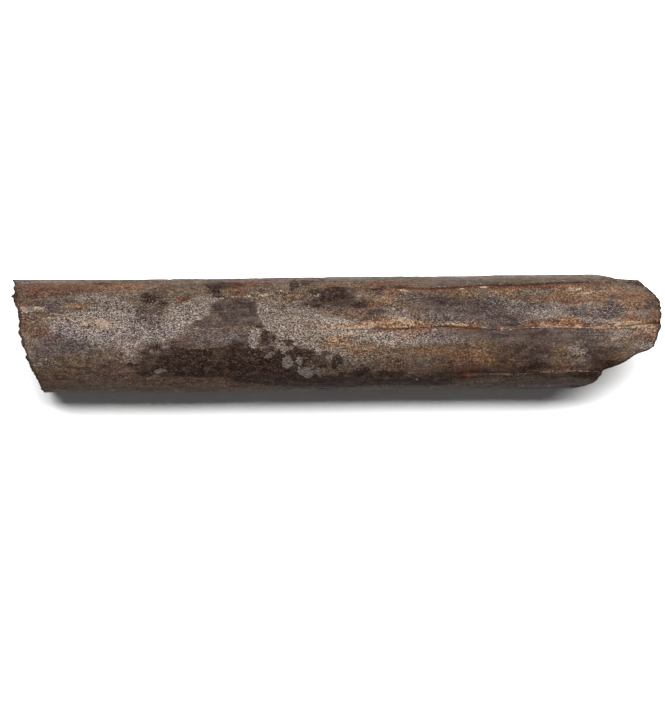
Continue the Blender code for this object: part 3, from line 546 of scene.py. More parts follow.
        (240, 366, 26, 4, 0.2), (24, 330, 10, 9, 0.2), (612, 366, 12, 3, 0.3), (140, 290, 14, 2, 0.3),
        (412, 326, 18, 2.6, 0.6), (384, 327, 14, 2.0, 0.6), (650, 326, 8, 3, 0.5), (590, 325, 14, 2, 0.4),
        (400, 325, 22, 3.4, 0.5), (456, 326.4, 18, 2.0, 0.5), (560, 321, 18, 3, 0.4), (646, 325, 10, 2.4, 0.5), (344, 286.4, 20, 1.2, 0.5), (370, 283, 20, 1.6, 0.4),
        (498, 360, 24, 7, 0.12), (470, 362, 14, 7, 0.18), (404, 326.6, 16, 2.4, 0.5), (386, 322.6, 14, 3, 0.4),
        (404, 325.6, 20, 3, 0.35), (386, 327.4, 12, 1.6, 0.4),
        (404, 327.4, 28, 1.4, 0.6), (388, 328, 10, 1.2, 0.5), (424, 326.4, 12, 1.4, 0.5),
        (50, 288, 32, 4, 0.22), (336, 299, 20, 7, 0.3), (92, 286, 30, 3, 0.25), (120, 283, 30, 2.4, 0.3), (638, 330, 12, 3, 0.3), (634, 314, 14, 3, 0.25),
        (500, 366, 24, 4, 0.2), (462, 366, 16, 4, 0.2), (554, 366, 16, 3, 0.25),
        (94, 283.6, 6, 1.0, 0.5), (106, 283.8, 6, 0.9, 0.5), (365, 287.4, 7, 1.0, 0.6),
        (378, 287.4, 7, 1.0, 0.6), (391, 287.6, 7, 1.1, 0.6), (404, 287.8, 7, 1.1, 0.6), (417, 288, 7, 1.1, 0.6),
        (430, 288.2, 7, 1.1, 0.6), (443, 288, 7, 1.1, 0.5), (456, 287.4, 7, 1.0, 0.5),
    ),
    # Orange and ochre.
    "ochre": (
        (78, 305.2, 12, 2.8, 1.0), (70, 305, 6, 3.0, 0.5), (86, 306.5, 6, 2.0, 0.5), (333, 342, 6.5, 4.4, 1.0), (324, 345, 7, 3, 0.65), (96, 323.4, 6, 2.2, 0.6),
        (322, 286.5, 5, 1.9, 0.8), (324, 311, 7, 1.6, 0.7), (322, 314, 6, 1.4, 0.4), (232, 290.4, 9, 2.2, 0.55), (243, 289, 4, 1.6, 0.4),
        (378, 299, 10, 3.4, 0.55), (389, 299.4, 8, 3.6, 0.55), (375, 304, 7, 2.2, 0.5), (390, 292, 6, 2.6, 0.5), (400, 290.4, 16, 1.2, 0.55),
        (362, 286, 12, 0.9, 0.7), (414, 284, 12, 1.4, 0.35), (424, 290, 24, 1.2, 0.4), (448, 290.4, 12, 1.4, 0.55), (466, 291.4, 8, 2.0, 0.5),
        (492, 290.4, 10, 2.4, 0.8), (507, 292.6, 9, 4, 0.7), (520, 288.6, 14, 1.2, 0.4), (534, 299.4, 14, 1.0, 0.5), (553, 297, 7, 2.4, 0.75),
        (566, 293, 8, 4.2, 0.75), (575, 288.6, 7, 2.4, 0.8), (586, 296, 10, 2.4, 0.4), (603, 299.6, 5, 3.6, 0.85), (614, 284, 6, 1.8, 0.6),
        (610, 287.5, 12, 1.6, 0.5), (628, 291, 14, 1.8, 0.9), (618, 288, 10, 1.4, 0.5), (640, 293.8, 12, 1.0, 0.6), (606, 303, 6, 1.6, 0.3),
        (366, 323.4, 9, 3.4, 0.85), (378, 322.4, 8, 2.4, 0.6), (396, 321.4, 9, 2.4, 0.85), (404, 321.4, 6, 3.4, 0.9), (392, 327, 8, 1.6, 0.6),
        (358, 327.6, 12, 1.2, 0.6), (415, 324.4, 8, 1.6, 0.7), (408, 327.4, 9, 1.8, 0.5), (428, 324.4, 5, 1.0, 0.4), (454, 323.6, 10, 1.8, 0.9),
        (468, 325, 7, 1.6, 0.7), (484, 327.4, 5, 0.9, 0.4), (500, 329, 4, 2.0, 0.9), (510, 329.6, 5, 1.0, 0.6), (513, 337.6, 7, 1.6, 0.5),
        (545, 323.4, 9, 2.0, 0.8), (560, 323.8, 9, 2.6, 0.85), (568, 317.6, 8, 2.6, 0.8), (572, 320.6, 8, 2.4, 0.6), (572, 325.6, 14, 1.4, 0.85),
        (592, 327, 12, 1.2, 0.75), (606, 326.4, 9, 1.6, 0.85), (620, 325, 7, 2.6, 0.95), (629, 322.6, 7, 2.0, 0.7), (638, 323.4, 6, 1.4, 0.7),
        (612, 329, 12, 1.0, 0.4), (632, 329, 10, 1.0, 0.4), (655, 332, 3.6, 2.4, 0.95), (648, 331, 5, 1.4, 0.4), (438, 351.4, 16, 4.4, 0.42),
        (426, 351, 10, 3, 0.42), (466, 351.6, 9, 2.6, 0.42), (478, 352, 10, 4, 0.45), (486, 364, 10, 4.4, 0.35), (458, 359, 8, 2, 0.4),
        (345, 342, 5, 2.6, 0.4), (352, 348.6, 6, 1.0, 0.5), (378, 351, 3.4, 1.8, 0.6), (392, 354, 10, 1.2, 0.35), (220, 305, 3, 2.2, 0.2),
        (206, 303, 5, 2.6, 0.4), (188, 328, 8, 1.2, 0.3), (112, 302, 3, 1.0, 0.6), (232, 328.6, 26, 0.9, 0.3), (262, 291, 8, 1.8, 0.3),
        (66, 371, 5, 2.2, 0.4), (560, 352, 5, 4, 0.2), (646, 312, 4, 1.2, 0.4), (588, 311.5, 2.6, 4, 0.3), (290, 347, 4, 2, 0.3),
        (570, 291, 12, 4, 0.6), (586, 293.6, 14, 3, 0.6), (600, 299, 8, 4, 0.6), (630, 303, 12, 2.6, 0.7), (620, 290.4, 16, 2.6, 0.6), (634, 312, 10, 3, 0.4),
        (374, 323.6, 20, 4, 0.7), (404, 323, 16, 4, 0.75), (424, 326, 14, 2, 0.6), (340, 326, 16, 2, 0.36), (316, 324, 20, 3, 0.3), (318, 335, 20, 3, 0.3), (386, 318, 10, 2, 0.40), (420, 326, 12, 1.6, 0.5), (556, 323.6, 16, 3, 0.5), (352, 326.6, 12, 1.2, 0.45),
        (24, 290, 10, 6, 0.32), (118, 286, 20, 2.4, 0.36), (236, 288, 10, 3, 0.42), (502, 293, 12, 4, 0.5), (396, 293, 16, 4, 0.38), (462, 291, 12, 3, 0.34), (384, 300, 14, 5, 0.4),
        (640, 325, 14, 3, 0.5), (560, 292, 10, 4, 0.36), (330, 346, 10, 3, 0.40), (345, 284, 12, 2, 0.36),
        (356, 325, 16, 2.6, 0.6), (400, 326, 22, 2.4, 0.5), (600, 310, 16, 4, 0.35), (634, 308, 12, 4, 0.45), (600, 326, 20, 1.6, 0.6),
        (626, 325, 18, 2.4, 0.6), (566, 319, 12, 2.6, 0.5), (586, 293, 16, 6, 0.4), (470, 324.6, 18, 1.6, 0.5), (650, 330, 8, 2, 0.5),
        (116, 286, 30, 3, 0.5), (138, 290, 16, 3, 0.5), (642, 321, 12, 2.6, 0.5), (540, 300, 16, 3, 0.35), (612, 292, 14, 4, 0.4),
        (370, 326, 16, 2, 0.5), (312, 323, 16, 2, 0.3),
        (380, 297, 16, 4, 0.3), (640, 297, 14, 3, 0.35), (574, 290, 18, 4, 0.3),
        (490, 352, 18, 6, 0.3), (358, 296, 16, 4, 0.3), (520, 290, 30, 3, 0.35), (632, 299, 16, 3, 0.3), (612, 320, 24, 2, 0.3), (446, 352, 24, 6, 0.3),
        (366, 338, 30, 6, 0.15), (338, 340, 16, 6, 0.24), (400, 344, 24, 5, 0.32), (312, 320, 26, 5, 0.3), (350, 350, 24, 5, 0.2), (200, 308, 14, 6, 0.28), (500, 358, 26, 8, 0.3), (632, 322, 16, 3, 0.4),
        (404, 324, 20, 3, 0.3),
        (476, 356, 26, 8, 0.34), (494, 362, 18, 5, 0.3), (576, 290, 18, 5, 0.5), (594, 294, 14, 5, 0.4),
        (344, 344, 30, 9, 0.15), (402, 322, 14, 3, 0.4), (574, 306, 10, 3, 0.35),
        (412, 324, 22, 4, 0.45), (640, 324, 18, 4, 0.4), (642, 296, 16, 6, 0.3), (596, 308, 20, 5, 0.3), (300, 336, 20, 8, 0.2),
        (628, 338, 18, 6, 0.3), (630, 346, 12, 4, 0.3), (368, 342, 26, 6, 0.1), (344, 338, 10, 4, 0.2),
        (412, 334, 22, 4, 0.25), (540, 364, 18, 5, 0.3),
        (560, 292, 18, 6, 0.3), (640, 300, 18, 6, 0.25), (576, 289, 10, 4, 0.5), (590, 296, 12, 5, 0.35),
        (368, 350, 22, 5, 0.34), (412, 334, 24, 4, 0.34), (344, 341, 40, 5, 0.1), (506, 367, 20, 3, 0.3),
        (366, 350, 22, 6, 0.3), (412, 334, 24, 4, 0.25),
        (396, 285.4, 7, 1.2, 0.4), (412, 285.8, 7, 1.0, 0.4), (424, 286.6, 7, 1.0, 0.35),
    ),
    # Manganese: near-black brown, with a purple cast in places. The thin lines along the lower edge at v 386.5 to 388,
    # u 480 to 585, are painted shadow where the bone meets its shadow.
    "dark": (
        (45, 288.4, 20, 1.0, 0.4), (28, 291.4, 12, 1.0, 0.35), (103, 283, 8, 0.8, 0.8), (88, 283.6, 8, 0.7, 0.4), (122, 284, 8, 0.6, 0.4),
        (52, 310.4, 5, 1.4, 0.7), (56, 306, 5, 2.4, 0.4), (40, 357, 10, 2, 0.35), (46, 366, 7, 3, 0.4), (60, 376, 14, 2.4, 0.4),
        (88, 343, 12, 1.6, 0.4), (92, 361, 8, 1.6, 0.5), (106, 366.5, 6, 3, 0.45), (30, 345, 5, 3, 0.35), (130, 364, 3.6, 1.8, 0.8),
        (137, 366.4, 5, 2.0, 0.5), (120, 376, 5, 2, 0.4), (146, 296, 3.4, 4, 0.72), (149, 300.8, 6, 2.2, 0.7), (140, 300.4, 5, 1.4, 0.4),
        (164, 303.6, 5, 2.2, 0.6), (157, 297.4, 5, 1.6, 0.5), (160, 290.4, 3, 1.2, 0.4), (137, 314, 6, 4.4, 0.5), (144, 311, 6, 3, 0.3),
        (148, 355, 8, 4, 0.6), (144, 372, 12, 6, 0.6), (180, 363, 26, 7, 0.7), (210, 364, 26, 9, 0.85), (236, 360, 18, 10, 0.8), (196, 356, 18, 4, 0.5), (155, 364, 16, 9, 0.8), (174, 356, 16, 5, 0.6), (178, 366, 22, 7, 0.95),
        (198, 355, 16, 4, 0.6), (204, 362, 20, 8, 0.95), (190, 372, 20, 3, 0.95), (210, 372.6, 20, 4, 0.95), (228, 364, 16, 8, 1.0),
        (224, 354, 12, 6, 0.75), (232, 372, 18, 4, 0.9), (178, 376, 20, 2.4, 0.5), (213, 286.6, 5, 2.6, 0.85), (207, 284, 5, 1.2, 0.5), (214, 356, 14, 5, 0.8), (196, 366, 16, 5, 0.8), (232, 356, 12, 6, 0.7),
        (215.4, 290.6, 2.6, 3.2, 1.0), (217.6, 294.6, 2.8, 2.6, 1.0), (221, 297, 3, 1.2, 0.6), (226, 297, 8, 1.0, 0.5), (218, 304, 3, 4, 0.5), (240, 285, 8, 2.4, 0.35),
        (246, 304, 8, 3.0, 0.6), (236, 302.4, 5, 1.2, 0.6), (251, 308, 4, 3, 0.4), (259, 326.6, 5, 1.8, 0.75), (244, 323.4, 14, 2, 0.3),
        (293, 283.4, 2.6, 3.6, 0.9), (297, 285, 2.6, 1.4, 0.7), (291.4, 290, 2.2, 1.4, 0.75), (303, 281.2, 2.6, 1.2, 0.7), (307, 283.6, 3.2, 1.8, 0.95),
        (313, 281, 4, 0.9, 0.6), (318, 288, 3.4, 1.6, 0.3), (312, 292, 4, 2, 0.5), (334, 296.6, 6, 4, 0.8), (325, 300.6, 11, 2.4, 0.55),
        (315, 305, 5, 3, 0.75), (307, 303.4, 5, 1.4, 0.6), (341, 297, 4, 5, 0.5), (338, 288, 8, 2.4, 0.5), (314, 293, 5, 1.4, 0.6),
        (338, 305, 6, 2, 0.5), (362, 304.6, 6, 3.6, 0.62), (356, 303, 4, 2.4, 0.5), (352, 298, 5, 2.4, 0.4), (347, 287, 3.4, 1.4, 0.5),
        (378, 289.6, 5, 1.2, 0.95), (371, 285, 2, 1.2, 0.6), (386, 282.4, 8, 1.2, 0.45), (372, 312, 8, 2.2, 0.55), (366, 316.6, 4, 2.4, 0.4),
        (344, 309, 6, 2.4, 0.35), (410, 293, 8, 1.6, 0.35), (428, 297.6, 14, 2.6, 0.4), (436, 303, 10, 2, 0.45), (446, 303.6, 8, 1.4, 0.35),
        (478, 307, 8, 3, 0.45), (476, 313, 8, 1.4, 0.65), (494, 308, 10, 3, 0.4), (504, 317, 10, 2.4, 0.4), (514, 323, 8, 2.4, 0.6),
        (507, 324.8, 9, 1.2, 0.8), (516, 331.4, 10, 1.8, 0.6), (533, 333, 8, 1.8, 0.5), (452, 300, 6, 2, 0.3), (560, 305, 6, 1.2, 0.3),
        (265, 336, 4.4, 5, 0.75), (274, 336.6, 2.6, 4, 0.75), (268, 331.4, 6, 1.2, 0.5), (262, 341, 3, 5, 0.4), (272, 347, 2.6, 3, 0.5),
        (290, 341.4, 5.4, 1.8, 0.95), (289.4, 344.4, 2.8, 1.9, 1.0), (285, 338.6, 2.4, 0.9, 0.6), (302, 345.4, 4, 1.2, 0.5), (300, 352, 10, 3.4, 0.85),
        (293.4, 353, 4, 2.4, 0.75), (307, 353.4, 6, 3.4, 0.85), (313, 359.4, 8, 2.8, 0.9), (306, 361, 4, 2.4, 0.6), (320, 356.6, 8, 4, 0.9),
        (321, 364, 7, 4.4, 1.0), (314.6, 364.4, 3.4, 2, 0.8), (326, 352, 5, 2.4, 0.65), (331, 353.6, 4, 1.6, 0.5), (338, 358.6, 4.6, 3.8, 1.0),
        (336, 364.4, 3.4, 4.4, 1.0), (341, 361.6, 3, 3, 0.8), (331, 367.6, 4, 1.2, 0.5), (342, 373.4, 4, 3, 0.5), (292, 361, 3, 6, 0.4),
        (240, 356, 14, 6, 0.75), (262, 352, 10, 4, 0.65), (246, 348, 6, 3, 0.5), (278, 357, 5, 4, 0.9), (270, 362, 12, 7, 1.0), (248, 364, 16, 8, 1.0),
        (292, 366.4, 6, 5, 0.95), (262, 373, 30, 8, 1.0), (288, 375, 24, 7, 1.0), (256, 379.6, 22, 3.4, 0.95), (290, 381, 26, 5, 1.0),
        (315, 379.6, 8, 4, 0.9), (308, 384, 24, 3.4, 0.9), (313, 372.6, 2.2, 4.4, 0.7), (336, 381, 18, 4.4, 0.75), (330, 377, 5, 1.6, 0.5),
        (360, 371.4, 7, 3.2, 1.0), (366, 368.6, 5, 1.6, 0.8), (360, 377, 8, 3, 0.85), (347, 376, 7, 3.4, 0.75), (368, 374, 5, 2.4, 0.6),
        (379, 376, 3, 2.2, 1.0), (384, 372.6, 10, 2.4, 0.5), (394, 375.4, 8, 2.6, 0.85), (400, 371.6, 10, 1.6, 0.4), (411, 378, 7, 1.6, 0.8), (424, 379.2, 24, 1.8, 0.75),
        (392, 382.4, 46, 2.8, 0.85), (425, 382.8, 24, 2.2, 0.9), (352, 384.6, 24, 2.0, 0.75), (440, 381.6, 12, 2, 0.7), (432, 375.4, 8, 1.4, 0.4),
        (528, 368.8, 15, 2.0, 0.75), (540, 366, 8, 2.4, 0.5), (536, 358, 8, 6, 0.3), (516, 370, 14, 1.4, 0.6), (500, 375.6, 22, 1.4, 0.5), (545, 374, 20, 1.8, 0.6),
        (575, 374, 12, 2.0, 0.75), (592, 371.8, 10, 3.0, 0.7), (604, 368.4, 8, 3, 0.8), (610, 364.4, 12, 3.4, 0.7), (594, 359, 4, 6, 0.4), (600, 362, 6, 4, 0.5),
        # (520, 388) and (574, 387.6) below are painted shadow along the lower edge.
        (594, 379, 6, 5, 0.5), (520, 388, 40, 0.8, 0.7), (574, 387.6, 8, 1.0, 0.8), (596, 287.4, 7, 2.6, 0.5), (590, 283.4, 12, 1.2, 0.4),
        (640, 285, 8, 1.6, 0.5), (648, 290.4, 5, 1.6, 0.5), (612, 296, 5, 2.0, 0.6), (630, 308, 3, 1.0, 0.3), (637, 308.4, 2.4, 1.4, 0.75), (652, 324, 8, 1.6, 0.6), (646, 318.6, 8, 1.4, 0.4),
        (635, 314, 3, 1.4, 0.6), (631, 318.6, 4, 1.2, 0.5), (648, 326.6, 5, 1.2, 0.4), (625, 363, 10, 1.6, 0.6), (644, 352.4, 8, 1.2, 0.4),
        (640, 338, 3, 1.0, 0.5), (632, 339, 2, 0.9, 0.4), (612, 303, 3, 3, 0.5), (618, 302, 4, 2, 0.3), (16, 296, 2.4, 6, 0.6),
        (160, 346, 11, 2.6, 0.75), (178, 350, 14, 3.4, 0.75), (152, 351, 8, 3, 0.6), (200, 353, 12, 4, 0.6), (212, 350.4, 10, 3, 0.55), (229, 351, 11, 5, 0.65), (236, 345, 8, 4, 0.6), (336, 294, 4, 3, 0.7),
        (440, 299, 16, 4, 0.22), (470, 304, 8, 4, 0.25), (500, 309, 12, 4, 0.25), (512, 317, 8, 3, 0.3), (480, 372.6, 26, 1.6, 0.5), (500, 377, 40, 1.4, 0.35),
        (560, 377, 30, 1.6, 0.4), (584, 376, 14, 3, 0.4), (520, 384.6, 30, 0.5, 0.5), (480, 384.8, 20, 0.5, 0.4), (536, 360, 18, 8, 0.2), (520, 371.6, 16, 1.4, 0.4), (350, 379, 14, 3, 0.4), (404, 379, 26, 2.4, 0.4),
        (440, 376, 16, 2.4, 0.5), (600, 365, 12, 4, 0.45), (596, 355, 6, 8, 0.38), (556, 342, 12, 3, 0.3), (148, 298, 8, 5, 0.34), (160, 304, 9, 4, 0.32), (44, 391.2, 2.4, 1.2, 0.8), (40, 388, 1.6, 2.6, 0.6), (24, 345, 1, 5, 0.6), (28, 362, 1, 4, 0.6), (35, 377, 1, 5, 0.6),
        (536, 366, 12, 3, 0.2), (470, 377, 20, 2, 0.45), (449, 377.6, 10, 1.6, 0.6), (520, 373, 30, 1.2, 0.45), (342, 303, 7, 4, 0.5), (330, 300, 8, 4, 0.5),
        (333, 292, 11, 6, 0.45), (326, 299, 12, 4, 0.45), (344, 297, 10, 5, 0.4), (314, 303, 8, 3, 0.5), (502, 364, 22, 5, 0.42), (294, 283, 3, 3, 0.6), (306, 282, 4, 2, 0.6),
        # (534, 386.5) and (574, 386.6) below are painted shadow along the lower edge.
        (222, 285, 10, 3, 0.35), (534, 386.5, 46, 0.8, 1.0), (574, 386.6, 10, 1.2, 1.0), (480, 371, 26, 2, 0.35), (452, 374, 14, 2, 0.4), (436, 372, 14, 2, 0.35), (382, 373, 6, 3, 0.5), (398, 373, 8, 2, 0.4),
        (275, 352, 14, 5, 0.4), (270, 362, 16, 6, 0.5), (284, 360, 10, 8, 0.4), (506, 352, 22, 9, 0.4), (545, 333, 24, 3, 0.35), (222, 285, 12, 4, 0.3),
        (470, 366, 16, 3, 0.25), (530, 345, 16, 6, 0.3), (304, 362, 14, 5, 0.4),
        (262, 356, 10, 4, 0.5), (284, 369, 10, 5, 0.5), (312, 378, 12, 3, 0.5), (298, 356, 3, 4, 0.6), (313, 352, 4, 2, 0.4), (296, 347, 3, 2, 0.5),
        (228, 285, 20, 4, 0.3), (274, 366, 22, 6, 0.6),
        (360, 371, 4, 2, 0.6), (367, 368.6, 3, 1.6, 0.6), (384, 373, 5, 1.8, 0.6), (395, 375.6, 6, 1.6, 0.6), (353, 375, 4, 1.8, 0.5), (376, 377, 6, 1.6, 0.5), (480, 345, 20, 5, 0.25), (275, 341, 14, 3, 0.35),
        (510, 344, 22, 7, 0.12), (502, 354, 18, 5, 0.12), (460, 354, 20, 5, 0.4),
        (278, 366, 20, 5, 0.5), (268, 372, 26, 5, 0.5),
        (550, 367, 20, 3, 0.35), (412, 382, 22, 3, 0.35), (276, 366, 10, 4, 0.5),
        (338, 294, 11, 5, 0.5), (350, 301, 8, 3.4, 0.5), (322, 291, 7, 3, 0.45), (356, 307, 5, 2.4, 0.4), (316, 302, 5, 3, 0.45), (294, 284, 4, 2.2, 0.8), (305, 282, 4, 1.8, 0.8), (300, 287, 3, 1.8, 0.6),
        (363, 299, 4, 2.4, 0.4), (213, 291, 3, 5, 0.5), (150, 298, 7, 3, 0.4), (142, 301, 5, 2.6, 0.35),
        (212, 286.6, 4, 3.2, 0.6), (217, 292.6, 3, 3.6, 0.6), (294.4, 284.4, 2.6, 4.4, 0.6),
        (306.6, 282.6, 4, 1.6, 0.6), (316, 281.6, 5, 1.0, 0.4), (100, 284, 5, 0.7, 0.4), (146, 298, 5, 4, 0.4),
        (372, 288.4, 6, 0.7, 0.5), (384, 288.6, 5, 0.8, 0.4), (416, 288.8, 6, 0.7, 0.5), (430, 289, 7, 0.7, 0.5),
    ),
    # Spots where the dark coat has come away from the grey bone.
    "spot": (
        (152.6, 352.6, 4, 2.6, 0.55), (165, 347, 9, 3.0, 0.55), (161, 370, 7, 2.4, 0.6), (156, 372, 4, 2, 0.4), (193, 353.4, 3.4, 1.8, 0.4),
        (255, 333.4, 5.6, 3.8, 1.0), (251.6, 341, 3.2, 2.6, 0.8), (254.4, 344.4, 4.6, 3.8, 0.95), (249, 336.6, 2, 1.4, 0.4), (287.4, 363, 5.4, 4.8, 1.0),
        (288.6, 356.8, 3.0, 2.4, 0.5), (299.4, 361, 3.4, 3.4, 0.95), (297, 357.4, 2.4, 1.4, 0.4), (305, 358, 3, 1.8, 0.5), (301, 371.4, 4.2, 3.4, 0.7),
        (299, 367.6, 2.4, 2.2, 0.5), (308.6, 374, 4.6, 4.2, 0.95), (306, 369, 3, 2.4, 0.7), (317.4, 370.4, 3.6, 3.4, 0.85), (320, 375.4, 2.4, 2.2, 0.5),
        (268, 356.4, 4.4, 2.8, 0.6), (273, 352.4, 5, 1.6, 0.55), (289.6, 382, 3, 1.8, 0.35), (329, 359, 3.2, 3.2, 0.5), (244, 362.6, 3, 1.6, 0.3),
        (331, 371.4, 4, 2.2, 0.35), (250.6, 352, 1.6, 3.6, 0.35), (352, 364, 6, 3, 0.25), (182, 357, 5, 1.6, 0.2), (210, 353, 4, 2, 0.2),
        (323, 371, 2, 1.6, 0.4), (345, 363, 5, 3, 0.3), (318, 354.6, 5, 1.0, 0.5),
        (250, 372, 5, 2.4, 0.2), (262, 366, 4, 2, 0.15), (281, 369, 3, 2.4, 0.15), (294, 376, 4, 2.2, 0.2), (276, 361, 3, 2.2, 0.2), (312, 366, 2.6, 2, 0.5), (272, 345, 2.4, 1.6, 0.5),
        (281, 349, 2.6, 1.8, 0.5), (263, 349, 3, 2, 0.4),
        (262, 340, 2, 1.6, 0.5), (292, 349, 2.4, 1.6, 0.5), (283, 372, 2, 1.4, 0.4), (238, 352, 2, 1.4, 0.35), (226, 366, 2, 1.4, 0.3), (197, 361, 3, 1.8, 0.35), (159, 352, 3.4, 2, 0.5),
        (152, 350, 2.4, 1.8, 0.45), (345, 306, 3, 1.6, 0.35), (352, 296, 3, 1.6, 0.4), (329, 300, 2.4, 1.6, 0.35),
    ),
    # Cream mineral.
    "cream": (
        (22.6, 308.4, 3.6, 1.6, 0.9), (26, 311.4, 4, 0.9, 0.5), (38, 308, 4.6, 1.3, 0.95), (33, 311, 8, 0.8, 0.6), (34, 313.6, 4.6, 0.7, 0.8), (44, 309.4, 4, 0.8, 0.4),
        (27, 313.6, 3, 0.7, 0.7), (21.6, 313.6, 1.4, 1.6, 0.6), (49.2, 317.3, 2.2, 1.1, 1.0), (64.2, 317.6, 1.6, 1.0, 0.9), (75, 317.6, 5, 0.7, 0.7), (56, 318, 3, 0.6, 0.5),
        (99, 321.8, 6, 1.2, 0.9), (103.4, 323.4, 2.4, 1.8, 1.0), (101, 326.6, 1.6, 1.0, 0.8), (120.6, 330.8, 2.4, 1.2, 1.0), (114, 321.4, 2, 0.9, 0.8), (107, 319, 3, 0.8, 0.6),
        (98, 337.4, 3, 1.0, 0.7), (93, 317, 3, 0.8, 0.6), (120, 317, 4, 0.7, 0.5), (128.4, 353.6, 2.4, 1.0, 0.8), (141.6, 357, 1.2, 1.6, 0.7), (134, 351.6, 2, 0.9, 0.6),
        (138, 325, 5, 0.8, 0.7), (136, 323, 2, 0.7, 0.6), (144.6, 335.8, 2.0, 1.0, 0.8), (153, 338, 3, 0.8, 0.6), (148, 327, 3, 0.8, 0.4), (183.6, 322.6, 2.4, 1.8, 0.7),
        (194, 328.8, 2, 0.8, 0.8), (198.2, 328.4, 1.5, 1.0, 1.0), (202.6, 329.6, 2.0, 0.6, 0.9), (196, 325.4, 2, 0.8, 0.4), (205, 298.4, 10, 0.7, 0.6), (196, 300, 5, 0.7, 0.4),
        (215.6, 298.4, 2.0, 0.7, 1.0), (223, 298.4, 3.4, 0.6, 1.0), (214, 312, 1.6, 1.6, 0.5), (206, 315.6, 3, 1.2, 0.5), (192, 315.6, 2, 1.2, 0.6), (180, 335, 3, 1.2, 0.5),
        (214, 328.4, 8, 0.6, 0.6), (236, 329, 10, 0.6, 0.5), (256, 328.6, 4, 0.6, 0.6), (258, 330, 5, 0.7, 0.5), (264, 328.4, 5, 0.7, 0.4), (234, 296.8, 9, 0.7, 0.8),
        (247, 296.4, 5, 0.8, 0.9), (263.4, 295, 4.4, 1.2, 1.0), (268, 294, 4, 0.6, 0.6), (255, 297, 4, 0.6, 0.5), (240, 289.6, 3, 0.7, 0.4), (252, 294, 3, 0.6, 0.4),
        (281, 290.4, 2.0, 0.9, 0.9), (284, 292, 1.6, 0.8, 0.6), (280.6, 325.6, 1.2, 1.8, 0.9), (288, 326.4, 6, 0.8, 0.6), (275, 328.8, 3, 0.8, 0.5), (296, 333.6, 5, 0.8, 0.6),
        (290, 346.4, 2.4, 0.7, 0.9), (304, 324.4, 3, 1.0, 0.6), (310, 335, 5, 0.8, 0.5), (322, 327.4, 3, 1.4, 0.6), (333, 327.4, 2.4, 1.6, 0.5), (334.6, 338, 3, 1.6, 0.9), (330, 343, 2, 1.6, 0.6),
        (330, 315.6, 2, 1.0, 0.8), (323, 317, 3, 0.8, 0.5), (314, 345, 2, 2.0, 0.5), (343, 322.6, 2.0, 1.2, 0.7), (342, 338.6, 3, 1.2, 0.6), (345, 344, 4, 1.0, 0.4),
        (324.6, 369.8, 3, 0.6, 0.9), (319, 354.6, 3.4, 0.6, 0.6), (316, 351, 3, 0.7, 0.4), (329, 358, 1.6, 1.6, 0.4), (356.6, 352.4, 3, 0.6, 0.6),
        (357, 327.8, 6, 0.8, 0.95), (345, 328.4, 8, 0.6, 0.7), (366, 326.6, 7, 1.4, 0.9), (376, 324, 6, 1.4, 0.7), (386, 323.4, 6, 1.0, 0.7), (398, 320.4, 8, 1.6, 0.8), (404, 327, 6, 0.8, 0.7), (412, 323.4, 4, 1.2, 0.7), (425, 326.4, 6, 0.8, 0.7), (440, 325.4, 5, 0.8, 0.7), (364.6, 324.4, 4.4, 2.0, 0.9), (372, 325.8, 4, 1.6, 0.9), (370, 322, 4, 1.0, 0.6), (378, 322.4, 2, 1.0, 0.7), (384, 326.6, 2.4, 1.0, 0.8),
        (395, 326.8, 3.4, 1.0, 0.8), (388, 321, 3, 0.8, 0.5), (397, 317.4, 4, 1.2, 0.5), (405, 318, 3.4, 1.0, 0.95), (405.4, 321.2, 3.6, 1.8, 1.0), (401, 323.6, 2.4, 1.0, 0.9), (408, 325.4, 2, 0.8, 0.5),
        (414, 325.4, 3, 0.9, 0.7), (419, 327.4, 3, 0.7, 0.5), (392, 308, 1.6, 0.8, 0.9), (395, 309, 1.4, 0.8, 0.7), (420.6, 321, 1.8, 1.4, 0.5), (430, 326, 2, 0.8, 0.4),
        (406, 291.4, 4, 0.7, 0.9), (400, 290, 4, 0.5, 0.5), (403, 297, 2, 0.9, 0.5), (390, 298, 4, 0.8, 0.3), (450, 284.4, 5, 0.5, 0.3), (460, 288.8, 5, 0.6, 0.8), (452, 290.6, 3, 0.6, 0.5),
        (450, 323.4, 4, 1.0, 0.9), (457, 325.6, 4, 0.9, 0.9), (462, 324.4, 4, 0.8, 0.6), (468, 325.6, 3, 0.8, 0.5), (474.6, 327.4, 1.6, 1.0, 0.5), (484, 327.4, 3.4, 0.7, 0.7),
        (496, 328.4, 2.4, 0.8, 0.6), (501.4, 329.6, 2.6, 1.2, 0.95), (511, 329.4, 3, 0.7, 0.6), (513.6, 338, 4, 1.0, 0.45), (484.4, 286.9, 4.6, 0.9, 1.0), (479, 284, 3, 0.4, 0.4), (472, 284, 4, 0.4, 0.4),
        (496, 290.6, 4, 0.6, 0.5), (505, 300.6, 3, 1.0, 0.4), (507, 294, 2.6, 1.6, 0.4), (519, 303, 2, 1.0, 0.4), (541.6, 321.4, 2.6, 1.0, 1.0), (536, 327.4, 4, 0.7, 0.6),
        (549, 325.2, 5, 1.0, 0.95), (556, 326.6, 6, 0.8, 0.8), (543, 323.6, 4, 0.7, 0.7), (552, 317.6, 4, 0.6, 0.5), (566, 325.6, 3, 0.8, 0.6), (565, 316.6, 5, 1.0, 0.5), (571, 326.8, 8, 0.7, 0.9),
        (584, 328.2, 10, 0.6, 0.7), (560, 327.4, 14, 0.6, 0.7), (574, 326.8, 12, 0.8, 0.6), (598, 328, 10, 0.6, 0.7), (612, 326.4, 9, 0.8, 0.7), (626, 325.4, 8, 1.0, 0.75), (640, 324.2, 7, 0.6, 0.7), (630, 322, 6, 1.6, 0.7), (464, 325.6, 8, 0.8, 0.5), (454, 324.4, 8, 0.8, 0.5), (575, 322, 2, 1.2, 0.5), (568, 321, 2, 1.0, 0.5), (603, 326.4, 6, 0.9, 0.8), (598, 328.6, 5, 0.5, 0.5), (619, 324, 3.0, 2.0, 0.95), (622.4, 326.6, 2.4, 1.0, 0.9),
